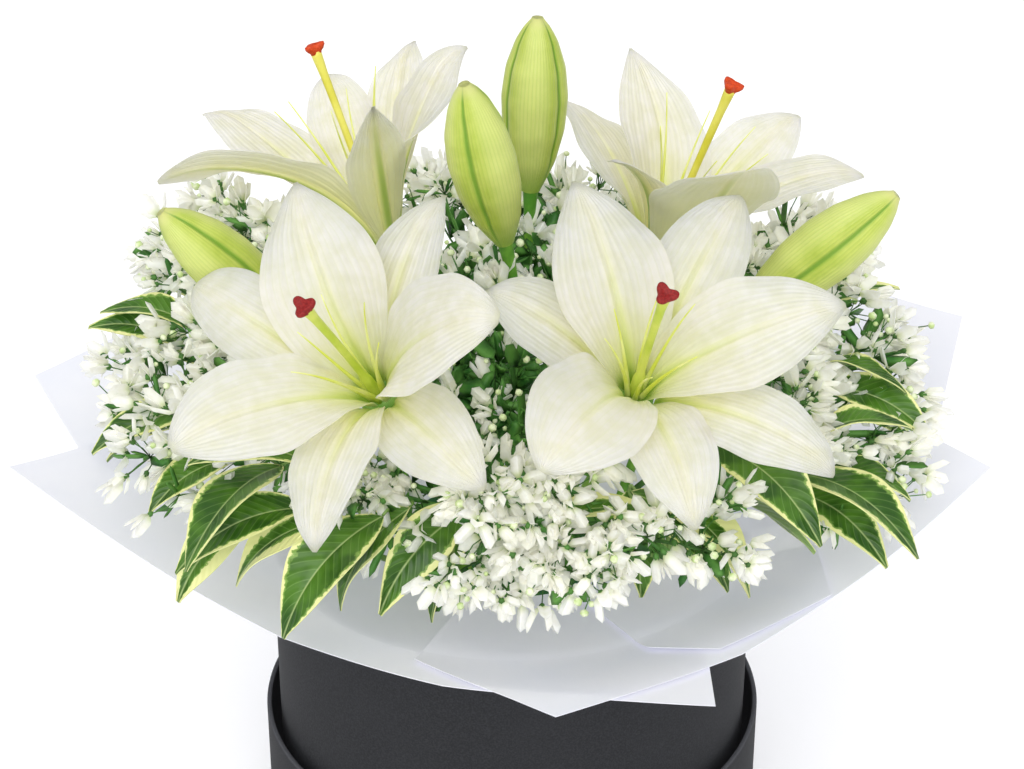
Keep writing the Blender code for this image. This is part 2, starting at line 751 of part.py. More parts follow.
def between(start, end, radius, step=3 * MM):
    """Samples along a straight bar."""
    start, end = Vector(start), Vector(end)
    count = max(2, math.ceil((end - start).length / step))
    return [(start.lerp(end, (i + 1) / count), radius) for i in range(count)]


def settled(wanted, samples_at, space, reach):
    """The place nearest to the wanted one whose samples are all clear."""
    best, best_margin = wanted, -1.0
    for offset in shells(reach):
        place = wanted + offset
        margin = space.margin(samples_at(place))
        if margin >= 0:
            return place
        if margin > best_margin:
            best, best_margin = place, margin
    return best


def in_patch(middle, half_a, half_b, count):
    """Places spread evenly over an oval patch, like seeds on a sunflower."""
    places = []
    for i in range(count):
        reach = math.sqrt((i + 0.5) / count)
        angle = i * GOLDEN_ANGLE
        places.append(middle + half_a * reach * math.cos(angle) + half_b * reach * math.sin(angle))
    return places


def above_rim(place):
    return Vector((place[0] * MM, place[1] * MM, RIM + place[2] * MM))


def head(name, place):
    """A small faceted ball, for one cluster of filler flowers."""
    mesh = bpy.data.meshes.new(name)
    shape = bmesh.new()
    bmesh.ops.create_icosphere(shape, subdivisions=1, radius=HEAD_RADIUS)
    bmesh.ops.translate(shape, vec=place, verts=shape.verts)
    shape.to_mesh(mesh)
    shape.free()
    return add_object(name, mesh)


def stalk(name, hub, radius, foam, space, spread):
    """A stem from the foam to the hub where its branches start, set clear of the other stems."""

    def way(place):
        return place - Vector((place.x * spread, place.y * spread, FOAM_TOP))

    def samples(place):
        path = stem_path(place, way(place), spread, 5)
        return [s for a, b in zip(path, path[1:]) for s in between(a, b, radius)]

    hub = settled(hub, samples, space, HUB_REACH)
    path = foam.stem(hub, way(hub), radius, spread, 5)
    path.append(hub + way(hub).normalized() * radius * 1.5)
    return hub, tube(name, path, [radius] * len(path), sides=6)


def build_spray(name, spec, foam, space):
    hub, middle, half_a, half_b, count = spec
    hub, stem = stalk(name, above_rim(hub), SPRAY_STEM_RADIUS, foam, space, SPRAY_SPREAD)
    middle, half_a, half_b = above_rim(middle), Vector(half_a) * MM, Vector(half_b) * MM
    pieces = [stem]
    for wanted in in_patch(middle, half_a, half_b, count):

        def samples(place):
            return [(place, HEAD_RADIUS), *between(hub, place, BRANCH_RADIUS)]

        place = settled(wanted, samples, space, HEAD_REACH)
        pieces.append(tube(name + "_branch", [hub, place], [BRANCH_RADIUS] * 2, sides=4))
        pieces.append(head(name + "_head", place))
        space.add(pieces[-1])
    space.add(union(name, pieces, "filler"))


def on_paper(place):
    """A point given by azimuth, distance from the axis, and height above the paper."""
    azimuth, radius = math.radians(place[0]), place[1] * MM
    height = float(paper_top(radius, azimuth)) + place[2] * MM
    return Vector((radius * math.cos(azimuth), radius * math.sin(azimuth), height))


def blade_points(base, tip, half):
    """A pointed leaf from base to tip, arched, its halves folded up a little from the midrib."""
    share = np.array([0, 0.2, 0.45, 0.72, 0.95])
    along = np.array(tip - base)
    length = np.linalg.norm(along)
    across = np.cross(along, (0, 0, 1.0))
    across /= np.linalg.norm(across)
    above = np.cross(across, along) / length
    arch = LEAF_ARCH * length * 4 * share * (1 - share)
    width = half * MM * np.sin(math.pi * share**0.85) ** 0.85 + 0.5 * MM
    side = np.linspace(-1, 1, 3)
    rib = np.array(base) + share[:, None] * along + arch[:, None] * above
    fold = LEAF_FOLD * np.abs(side) * width[:, None]
    return (
        rib[:, None]
        + across * (side * width[:, None])[..., None]
        + above * fold[..., None]
    )


def build_sprig(name, spec, foam, space):
    hub, leaves = spec
    hub, stem = stalk(name, above_rim(hub), LEAF_STEM_RADIUS, foam, space, SPRIG_SPREAD)
    pieces = [stem]
    for base, tip, half in leaves:
        base, tip = on_paper(base), on_paper(tip)

        def samples(place, base=base, tip=tip, half=half):
            shift = place - base
            grid = blade_points(place, tip + shift, half)
            blade = [(Vector(point), LEAF_THICKNESS) for point in grid.reshape(-1, 3)]
            middles = (grid[1:, 1:] + grid[:-1, :-1]) / 2
            blade += [(Vector(point), LEAF_THICKNESS) for point in middles.reshape(-1, 3)]
            return blade + between(hub, place, BRANCH_RADIUS)

        place = settled(base, samples, space, LEAF_REACH)
        points = blade_points(place, tip + (place - base), half)
        blade = sheet(name + "_blade", points[:, ::-1], LEAF_THICKNESS)
        pieces.append(made_mesh(blade, name + "_blade"))
        space.add(pieces[-1])
        sunk = Vector((0, 0, -LEAF_THICKNESS / 2))
        path = [hub, place + sunk, Vector(points[1, 1]) + sunk]
        pieces.append(tube(name + "_stalk", path, [BRANCH_RADIUS] * 3, sides=4))
    space.add(union(name, pieces, "leaf_green"))


# ---------------------------------------------------------------- the whole


def main():
    clear_scene()
    foam = Foam(build_holder())
    for name, lily in LILIES.items():
        build_lily(name, lily, foam)
    for name, (below, tip, away) in BUDS.items():
        build_bud(f"bud_{name}", below, tip, away, foam)
    for name, (level, corners) in SHEETS.items():
        build_paper(f"paper_{name}", level, corners)
    space = Space()
    for obj in list(collection_of("lilies_in_a_box").objects):
        if obj.name != "floral_foam":
            space.add(obj)
    for name, spec in SPRIGS.items():
        build_sprig(f"leaves_{name}", spec, foam, space)
    for name, spec in SPRAYS.items():
        build_spray(f"filler_{name}", spec, foam, space)
    foam.cut()


main()
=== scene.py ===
"""Lilies in a box: the finished surfaces of a florist's round hat box with open lilies, lily
buds, filler flowers and variegated leaves in a ruff of white paper. Every piece is worked out
with numpy from a few sizes, in metres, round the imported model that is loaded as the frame."""

import json
import math

import bpy
import numpy as np
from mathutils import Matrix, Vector
from mathutils.bvhtree import BVHTree

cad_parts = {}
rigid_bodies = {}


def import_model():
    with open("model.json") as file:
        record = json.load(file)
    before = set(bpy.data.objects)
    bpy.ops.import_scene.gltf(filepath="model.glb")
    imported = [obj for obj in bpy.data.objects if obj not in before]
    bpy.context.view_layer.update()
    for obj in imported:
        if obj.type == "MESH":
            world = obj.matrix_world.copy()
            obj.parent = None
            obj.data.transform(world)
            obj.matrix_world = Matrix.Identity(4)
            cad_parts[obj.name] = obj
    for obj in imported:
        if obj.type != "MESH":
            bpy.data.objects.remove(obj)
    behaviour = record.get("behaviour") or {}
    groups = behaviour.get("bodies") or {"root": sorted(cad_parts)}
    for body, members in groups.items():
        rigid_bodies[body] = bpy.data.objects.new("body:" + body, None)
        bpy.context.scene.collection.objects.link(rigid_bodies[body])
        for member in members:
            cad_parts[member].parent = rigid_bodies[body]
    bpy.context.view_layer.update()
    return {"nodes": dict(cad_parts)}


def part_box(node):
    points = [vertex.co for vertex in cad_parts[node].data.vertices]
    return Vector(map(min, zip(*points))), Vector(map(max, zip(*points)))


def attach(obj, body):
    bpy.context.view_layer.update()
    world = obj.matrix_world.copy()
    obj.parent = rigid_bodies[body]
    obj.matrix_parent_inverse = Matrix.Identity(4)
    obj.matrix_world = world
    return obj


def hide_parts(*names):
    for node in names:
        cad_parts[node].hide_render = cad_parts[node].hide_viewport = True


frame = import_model()

bl_info = {
    "name": "Lilies in a Box",
    "version": (1, 0, 0),
    "blender": (4, 5, 0),
    "location": "3D View > Sidebar > Lilies",
    "description": "Makes the finished surfaces of a hat box of lilies",
    "category": "Object",
}

MM = 0.001
BODY = "root"

# ---------------------------------------------------------------- sizes taken from the frame

BOX_LOW, BOX_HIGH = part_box("box")
TRAY_LOW, TRAY_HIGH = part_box("lid_tray")
LINER_LOW, LINER_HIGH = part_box("foam_liner")
BOX_RADIUS = BOX_HIGH.x
RIM = BOX_HIGH.z
FOAM_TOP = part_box("floral_foam")[1].z

# ---------------------------------------------------------------- sizes of the design

BOARD = 2.5 * MM
BASE_BOARD = 3 * MM
LINER_WALL = 0.8 * MM

BOX_STEPS = 192
LINER_STEPS = 128

CLAW_HALF_WIDTH = 4.2 * MM
TIP_HALF_WIDTH = 1.1 * MM
INNER_HALF_WIDTH = 26 * MM
OUTER_HALF_WIDTH = 18 * MM
TEPAL_ROWS = 84
TEPAL_COLUMNS = 67
FURROW_WIDTH = 1.3 * MM
RIDGE_DISTANCE = 3.0 * MM
RIDGE_WIDTH = 1.5 * MM
KEEL_HEIGHT = 0.7 * MM
KEEL_WIDTH = 2.2 * MM
FILAMENTS = 6
STIGMA_HEIGHT = 3.4 * MM
LILY_STEM_RADIUS = 3.4 * MM
RECEPTACLE_RADIUS = 9.3 * MM
BUD_STEM_RADIUS = 2.5 * MM
BUD_LENGTH = 88 * MM
BUD_RADIUS = 16.5 * MM
GOLDEN_ANGLE = math.pi * (3 - math.sqrt(5))

# Layers of the tepals of a lily: distance from the axis at the throat, and angle from it there.
LAYERS = {"inner": (5.0 * MM, 17), "outer": (7.4 * MM, 22), "low": (9.4 * MM, 26)}

# Each lily: throat (x, y, height above the rim) in mm, axis, lengths of its pistil and filaments
# in mm, how pointed some of its tepals are, and its tepals: name, layer, length in mm, azimuth at
# the throat and at the tip, angle from the axis at the tip, power of the opening along the
# length, further curl of the tip, share of the usual width, then twist towards the tip in
# degrees, steepness of the fold along the midrib, and depth of the waves of the margins in mm.
LILIES = {
    "front_left": {
        "throat": (-60, -60, 107),
        "axis": (-0.305, -0.539, 0.768),
        "pistil": 90,
        "filament": 58,
        "pointed": {"upper": 1.2, "upper_left": 0.8, "upper_right": 1.15},
        "tepals": (
            ("upper", "inner", 109, 96, 92, 95, 1.0, 15, 1.04, 4, 0.00, 1.2),
            ("upper_left", "outer", 107, 145, 134, 115, 1.0, 15, 1.0, 0, 0.04, 0.8),
            ("left", "inner", 110, 208, 202, 80, 1.0, 20, 1.0, -5, 0.02, 1.2),
            ("lower_left", "outer", 103, 254, 250, 108, 1.0, 15, 0.95, 8, 0.05, 1.3),
            ("lower_right", "low", 93, 302, 300, 120, 1.0, 15, 1.0, -4, 0.03, 1.0),
            ("right", "inner", 118, 343, 339, 66, 0.9, 50, 0.98, 6, 0.02, 1.4),
            ("upper_right", "outer", 100, 45, 49, 112, 1.0, 15, 0.95, 0, 0.04, 0.8),
        ),
    },
    "front_right": {
        "throat": (55, -60, 107),
        "axis": (0.105, -0.535, 0.832),
        "pistil": 90,
        "filament": 58,
        "pointed": {"upper_left": 1.15, "left": 0.85, "right": 1.0, "upper_right": 1.0},
        "tepals": (
            ("upper_left", "inner", 106, 120, 117, 95, 1.0, 15, 1.0, 3, 0.00, 1.2),
            ("left", "outer", 86, 168, 160, 108, 1.0, 15, 1.0, 0, 0.03, 0.8),
            ("lower_left", "inner", 106, 234, 238, 92, 1.0, 20, 0.98, -4, 0.02, 1.3),
            ("lower", "outer", 98, 284, 286, 105, 1.0, 20, 1.0, 4, 0.04, 1.0),
            ("lower_right", "low", 107, 328, 331, 110, 1.0, 40, 1.0, -5, 0.03, 1.1),
            ("right", "inner", 110, 10, 16, 92, 1.0, 10, 0.96, 4, 0.02, 1.2),
            ("upper_right", "outer", 110, 66, 66, 110, 1.0, 15, 1.05, 0, 0.03, 0.8),
        ),
    },
    "back_left": {
        "throat": (-63, 75, 121),
        "axis": (-0.327, 0.195, 0.925),
        "pistil": 103,
        "filament": 80,
        "pointed": {"near": 1.25, "upper_right": 1.1, "right": 1.1},
        "tepals": (
            ("upper_right", "outer", 121, 56, 68, 70, 1.0, 20, 1.0, 8, 0.08, 1.2),
            ("upper", "inner", 111, 102, 100, 68, 1.0, 10, 0.62, 0, 0.10, 1.0),
            ("left", "outer", 122, 162, 148, 61, 1.0, 52, 1.4, 12, 0.02, 1.4),
            ("lower_left", "inner", 124, 226, 203, 91, 1.1, 12, 0.66, 44, 0.16, 1.2),
            ("near", "outer", 98, 300, 295, 50, 0.7, 10, 0.78, 0, 0.10, 0.7),
            ("right", "inner", 108, -10, 27, 65, 1.0, 40, 0.95, 36, 0.02, 1.2),
        ),
    },
    "back_right": {
        "throat": (71, 65, 114),
        "axis": (0.321, -0.094, 0.942),
        "pistil": 104,
        "filament": 80,
        "pointed": {"upper_left": 1.1, "lower_left": 1.3, "near": 0.8},
        "tepals": (
            ("upper_left", "inner", 111, 108, 120, 72, 1.0, 12, 0.9, 0, 0.06, 1.0),
            ("left", "outer", 101, 162, 146, 95, 1.0, 54, 1.4, 22, 0.0, 1.2),
            ("lower_left", "inner", 98, 222, 222, 80, 1.5, 10, 0.5, 25, 0.12, 0.7),
            ("near", "outer", 117, 283, 275, 36, 0.6, 30, 1.6, 24, 0.0, 1.0),
            ("right", "inner", 115, -4, 8, 78, 1.2, 25, 0.78, -5, 0.08, 1.1),
            ("upper_right", "outer", 113, 48, 53, 80, 1.0, 15, 1.0, 5, 0.06, 1.0),
        ),
    },
}
POINTED = {"inner": 0.8, "outer": 0.95, "low": 0.95}  # how pointed the other tepals are
DARK_STIGMA = ("front_left", "front_right")  # fully open, so their stigmas have ripened

# Each bud: on the side that faces the nearest lily, a point below the bud and one at its tip
# (x, y, height above the rim) in mm, the way from that side to the bud's axis, and its turn.
BUDS = {
    "centre_front": ((-1, -16.5, 145), (-21, -36.5, 241), (0, 1, 0), 70),
    "centre_back": ((9, 43.5, 155), (12, 43.5, 243), (0, 1, 0), 25),
    "left": ((-106.1, -13.2, 125), (-150.1, -23.2, 175), (-0.6, 0.8, 0), 20),
    "right": ((110.1, -13.2, 129), (166.1, -15.2, 180), (0.6, 0.8, 0), 80),
}

# Each sheet of paper: its level in the stack and its corners going round, as (azimuth in
# degrees, distance out from the box's wall in mm).
SHEETS = {
    "back_left": (0, ((84, 52), (112, 87), (150, 119), (164, 135), (178, 87))),
    "back_right": (1, ((-4, 62), (8, 95), (27, 148), (40, 137), (66, 87), (98, 52))),
    "front_left": (2, ((172, 88), (183, 124), (227, 35), (258, 29), (297, 74), (305, 34))),
    "front_right": (3, ((250, 10), (276, 60), (308, 48), (356, 112), (367, 88))),
    "fold_right": (4, ((298, 12), (306, 39), (328, 54), (344, 32))),
}
PAPER_STEP = 1.7 * MM
PAPER_TUCK = 62 * MM
PAPER_SETTLE = 45 * MM  # over this width outside the box a sheet comes up to its own level
PAPER_BLEND = 14  # half degrees over which it passes from one height at the edge to another
PAPER_DROP = 7 * MM
PAPER_ABOVE_RIM = 1.2 * MM
PAPER_SLOPE = 0.36
PAPER_SLOPE_FRONT = 0.10

# Each sprig: where its leaf stalks start (x, y, height above the rim) in mm, then its leaves:
# base and tip as (azimuth in degrees, distance from the box's axis in mm, height above the
# paper there in mm), half-width in mm, and twist in degrees.
SPRIGS = {
    "left": (
        (-100, -6, 30),
        (
            ((187, 144, 58), (193, 200, 40), 12, 10),
            ((184, 146, 46), (188, 194, 26), 12, -20),
            ((172, 156, 66), (173, 206, 64), 11, 15),
            ((170, 152, 76), (171, 202, 70), 10, 5),
            ((168, 156, 54), (168, 200, 44), 11, 0),
            ((155, 158, 60), (158, 204, 64), 10, 10),
            ((199, 136, 52), (205, 182, 34), 12, 0),
            ((128, 136, 50), (126, 192, 42), 12, 0),
        ),
    ),
    "front_left": (
        (-72, -72, 30),
        (
            ((239, 112, 58), (233, 169, 12), 16, 8),
            ((242, 98, 58), (234, 134, 14), 14, -14),
            ((259, 78, 56), (242, 128, 16), 12, 48),
            ((262, 74, 62), (252, 121, 14), 14, -30),
            ((232, 122, 56), (218, 160, 16), 14, 10),
            ((223, 124, 54), (216, 186, 24), 13, 16),
            ((210, 122, 62), (221, 190, 36), 15, -16),
            ((214, 140, 44), (216, 186, 8), 11, 24),
            ((222, 118, 74), (209, 166, 66), 11, 12),
        ),
    ),
    "front_right": (
        (72, -76, 30),
        (
            ((330, 100, 72), (323, 173, 38), 16, -12),
            ((337, 140, 50), (329, 211, 26), 15, 8),
            ((340, 138, 36), (331, 194, 14), 12, -14),
            ((320, 98, 52), (327, 164, 26), 11, 52),
            ((313, 96, 56), (318, 147, 12), 15, 10),
            ((311, 84, 54), (319, 133, 10), 14, -14),
            ((316, 76, 50), (304, 106, 10), 12, 20),
            ((276, 106, 60), (306, 118, 54), 13, 10),
        ),
    ),
    "right": (
        (106, -8, 30),
        (
            ((0, 146, 62), (352, 199, 38), 13, -12),
            ((2, 146, 50), (354, 189, 32), 12, 10),
            ((342, 148, 64), (346, 190, 56), 11, 10),
            ((4, 146, 68), (354, 186, 60), 11, 20),
            ((20, 146, 66), (16, 198, 72), 11, 0),
            ((343, 150, 44), (341, 194, 28), 11, 12),
            ((30, 144, 56), (34, 196, 46), 12, 0),
            ((50, 136, 52), (54, 190, 46), 12, -10),
        ),
    ),
}

# Each patch of filler: the spray that it belongs to, the middle of its clusters and two half-axes
# (x, y, height above the rim) in mm, and how many clusters it has.
PATCHES = (
    ("left", (-150, 0, 100), (-6, 78, 38), (-40, -4, -14), 44),
    ("right", (156, 0, 90), (2, 78, 36), (40, 4, -14), 42),
    ("left", (-120, 66, 122), (26, -26, -6), (-12, 10, 22), 16),
    ("right", (124, 64, 122), (28, 26, -6), (12, 10, 22), 16),
    ("left", (-116, 34, 56), (-10, 66, 4), (-24, -4, 22), 26),
    ("right", (118, 34, 56), (10, 66, 4), (24, -4, 22), 26),
    ("back", (2, 100, 138), (96, -6, -6), (0, -50, 26), 34),
    ("back", (0, 120, 74), (96, -4, 0), (0, 22, -34), 34),
    ("front", (20, -124, 80), (44, -2, -2), (-2, -16, -24), 24),
    ("front", (-64, -92, 62), (34, 6, 0), (0, -22, -14), 18),
    ("front", (-16, -112, 54), (28, -2, 0), (0, -8, -8), 9),
    ("front", (-46, -116, 84), (46, -6, 4), (0, -8, -14), 16),
    ("front", (96, -106, 64), (26, 10, -6), (4, -10, -14), 8),
    ("centre", (-8, -56, 110), (28, -6, -4), (0, -26, -20), 13),
    ("centre", (-20, 6, 130), (24, 4, 2), (-4, 24, 14), 16),
    ("centre", (22, 44, 138), (22, 4, 2), (0, 26, 10), 12),
)
# Each spray: where its branches start (x, y, height above the rim) in mm, the share of the usual
# number of florets, and the leaflets on each branch.
SPRAYS = {
    "left": ((-84, 4, 40), 1.0, 5),
    "right": ((86, 4, 40), 1.0, 5),
    "back": ((4, 84, 44), 1.0, 5),
    "front": ((4, -78, 28), 1.0, 4),
    "centre": ((-2, -10, 50), 0.34, 14),
}


# ---------------------------------------------------------------- settings


def linear(code):
    """An sRGB hex colour as linear red, green and blue. A colour that is linear stays."""
    if not isinstance(code, str):
        return tuple(code)
    values = np.array([int(code[i : i + 2], 16) / 255 for i in (1, 3, 5)])
    curved = np.where(values <= 0.04045, values / 12.92, ((values + 0.055) / 1.055) ** 2.4)
    return tuple(float(value) for value in curved)


def colour_setting(name, description, code):
    return bpy.props.FloatVectorProperty(
        name=name, description=description, subtype="COLOR", size=3, min=0, max=1,
        default=linear(code),
    )


def length_setting(name, description, value):
    return bpy.props.FloatProperty(
        name=name, description=description, subtype="DISTANCE", unit="LENGTH", min=0,
        default=value,
    )


class LilySettings(bpy.types.PropertyGroup):
    petal: colour_setting("Petal", "Colour of the open tepals", "#D9D4C8")
    rib: colour_setting("Rib", "Colour of the midrib towards the throat", "#CFDA84")
    throat: colour_setting("Throat", "Colour of the nectary furrows", "#8FB02C")
    thickness: length_setting("Thickness", "Thickness of a tepal at its midrib", 1.2 * MM)
    rib_depth: length_setting("Rib depth", "Depth of the furrow along the midrib", 0.8 * MM)


class BudSettings(bpy.types.PropertyGroup):
    skin: colour_setting("Skin", "Colour of the rounded ribs", "#BFCB62")
    seam: colour_setting("Seam", "Colour in the seams between the ribs", "#6E9A2C")


class PaperSettings(bpy.types.PropertyGroup):
    paper: colour_setting("Paper", "Colour of the wrapping paper", "#E3E3EC")
    thickness: length_setting("Thickness", "Thickness of a sheet", 0.35 * MM)
    wave: length_setting("Wave", "How far the sheets wave at their edges", 2.4 * MM)


class LeafSettings(bpy.types.PropertyGroup):
    green: colour_setting("Green", "Colour of the middle of a leaf", "#294F12")
    margin: colour_setting("Margin", "Colour of the variegated margin", "#E0E19C")


class FillerSettings(bpy.types.PropertyGroup):
    petal: colour_setting("Petal", "Colour of the filler flowers", "#FEFDF4")
    stem: colour_setting("Stem", "Colour of the fine stems", "#4E7F38")
    florets: bpy.props.IntProperty(
        name="Florets", description="Florets in one cluster", default=6, min=1
    )
    seed: bpy.props.IntProperty(name="Seed", description="Start of the random draws", default=7)


class BoxSettings(bpy.types.PropertyGroup):
    board: colour_setting("Board", "Colour of the covered board", "#1B1C1F")


class StageSettings(bpy.types.PropertyGroup):
    floor: colour_setting("Floor", "Colour of the floor", "#FFFFFF")
    daylight: bpy.props.FloatProperty(
        name="Daylight", description="Strength of the light from all round", default=0.6, min=0
    )
    key: bpy.props.FloatProperty(
        name="Key", description="Strength of the large soft light in front", default=1.0, min=0
    )
    fill: bpy.props.FloatProperty(
        name="Fill", description="Strength of the shadowless light", default=1.5, min=0
    )


# ---------------------------------------------------------------- materials


def add_node(tree, kind, settings=None, inputs=None):
    """Adds a node. Each setting is a property of it, and each input gets a value or a link."""
    node = tree.nodes.new(kind)
    for name, value in (settings or {}).items():
        setattr(node, name, value)
    for key, value in (inputs or {}).items():
        if isinstance(value, bpy.types.NodeSocket):
            tree.links.new(value, node.inputs[key])
        else:
            node.inputs[key].default_value = value
    return node


def math_of(tree, operation, first, second=0.0, third=0.0):
    values = {0: first, 1: second, 2: third}
    return add_node(tree, "ShaderNodeMath", {"operation": operation}, values).outputs[0]


def times(tree, first, second):
    return math_of(tree, "MULTIPLY", first, second)


def spread_of(tree, value, low, high, to_low=0.0, to_high=1.0):
    """A value carried smoothly from one range to another, and held at its ends."""
    settings = {"interpolation_type": "SMOOTHSTEP"}
    inputs = {"Value": value, "From Min": low, "From Max": high}
    inputs |= {"To Min": to_low, "To Max": to_high}
    return add_node(tree, "ShaderNodeMapRange", settings, inputs).outputs[0]


def bell_of(tree, value, width):
    """exp(-(value / width) squared): one in the middle, falling away on both sides."""
    share = math_of(tree, "DIVIDE", value, width)
    square = times(tree, share, share)
    return math_of(tree, "EXPONENT", times(tree, square, -1.0))


def blended(tree, factor, first, second):
    """Two colours mixed by a factor. A colour is a socket, or linear red, green and blue."""
    sides = [c if isinstance(c, bpy.types.NodeSocket) else (*c, 1) for c in (first, second)]
    inputs = {"Factor": factor, 6: sides[0], 7: sides[1]}
    return add_node(tree, "ShaderNodeMix", {"data_type": "RGBA"}, inputs).outputs[2]


def tinted(tree, colour, mask, strength, tint):
    """A colour moved towards a tint where a mask is one, by a strength."""
    return blended(tree, times(tree, mask, strength), colour, tint)


def mark_of(tree, name):
    """A value that the mesh carries at its points."""
    return add_node(tree, "ShaderNodeAttribute", {"attribute_name": name}).outputs["Fac"]


def noise_of(tree, size, detail=3.0, stretch=(1, 1, 1)):
    """Noise with grains of a size in metres, on object coordinates."""
    place = add_node(tree, "ShaderNodeTexCoord").outputs["Object"]
    inputs = {"Vector": place, "Scale": stretch}
    place = add_node(tree, "ShaderNodeMapping", None, inputs).outputs[0]
    inputs = {"Vector": place, "Scale": 1 / size, "Detail": detail}
    return add_node(tree, "ShaderNodeTexNoise", None, inputs).outputs["Fac"]


def finish_of(name, values):
    """A new Principled material with its uniform values: (material, tree, shader)."""
    material = bpy.data.materials.new(name)
    material.use_nodes = True
    shader = material.node_tree.nodes["Principled BSDF"]
    for key, value in values.items():
        shader.inputs[key].default_value = value
    return material, material.node_tree, shader


def raised(tree, shader, height, distance, strength=1.0):
    """Bump on a shader from a height of 0 to 1, over a distance in metres."""
    inputs = {"Height": height, "Distance": distance, "Strength": strength}
    bump = add_node(tree, "ShaderNodeBump", None, inputs)
    tree.links.new(bump.outputs[0], shader.inputs["Normal"])


def covered_board(settings):
    """Box board covered with dyed matt paper: rolled, so it has a fine even grain and no gloss,
    with a painted highlight that makes it paler along its softened rims."""
    values = {"Roughness": 0.78, "Metallic": 0.0, "IOR": 1.45, "Specular IOR Level": 0.35}
    material, tree, shader = finish_of("matt_covered_board", values)
    grain = noise_of(tree, 0.9 * MM, 4)  # the real grain is 0.3 mm, too fine to show
    cloud = noise_of(tree, 40 * MM, 2)
    base = tuple(settings.board)
    lighter = tuple(value * 1.55 + 0.004 for value in base)
    colour = blended(tree, spread_of(tree, grain, 0.35, 0.7), base, lighter)
    colour = blended(tree, spread_of(tree, cloud, 0.3, 0.8, 0, 0.3), colour, lighter)
    # painted highlight: the board is paler along its softened rims, where light catches them
    edge_highlight = mark_of(tree, "edge")
    colour = tinted(tree, colour, edge_highlight, 0.35, linear("#6A6B70"))
    tree.links.new(colour, shader.inputs["Base Color"])
    raised(tree, shader, grain, 0.08 * MM, 0.6)
    return material


def wet_foam():
    """Soaked floral foam: blown phenolic foam, a dull green full of tiny open cells."""
    values = {"Roughness": 0.92, "IOR": 1.4}
    material, tree, shader = finish_of("wet_floral_foam", values)
    cells = noise_of(tree, 1.2 * MM, 2)
    colour = blended(tree, cells, linear("#1C4526"), linear("#3F7B48"))
    tree.links.new(colour, shader.inputs["Base Color"])
    raised(tree, shader, cells, 0.5 * MM)
    return material


def clear_film():
    """Cellophane liner: cast film, clear and glossy, that looks milky where it is wet."""
    values = {"Roughness": 0.18, "IOR": 1.5, "Base Color": (*linear("#C9D2D0"), 1)}
    material, tree, shader = finish_of("clear_liner_film", values)
    raised(tree, shader, noise_of(tree, 14 * MM, 2), 0.6 * MM)
    return material


def wrapping_paper(settings):
    """White waxed wrapping paper: thin, slightly see-through and cool in its shades, with soft
    dents where it was handled and a faint fibre."""
    values = {"Roughness": 0.62, "IOR": 1.45, "Specular IOR Level": 0.3}
    values |= {"Subsurface Weight": 0.3, "Subsurface Scale": 5 * MM}
    values |= {"Subsurface Radius": (1.0, 1.0, 1.0)}
    material, tree, shader = finish_of("white_wrapping_paper", values)
    cloud = noise_of(tree, 55 * MM, 3)
    fibre = noise_of(tree, 1.6 * MM, 3, (1, 0.35, 1))
    base = tuple(settings.paper)
    cooler = tuple(value * share for value, share in zip(base, (0.94, 0.955, 0.985)))
    colour = blended(tree, spread_of(tree, cloud, 0.3, 0.75), base, cooler)
    tree.links.new(colour, shader.inputs["Base Color"])
    height = math_of(tree, "MULTIPLY_ADD", fibre, 0.05, cloud)
    raised(tree, shader, height, 2.0 * MM, 0.35)
    return material


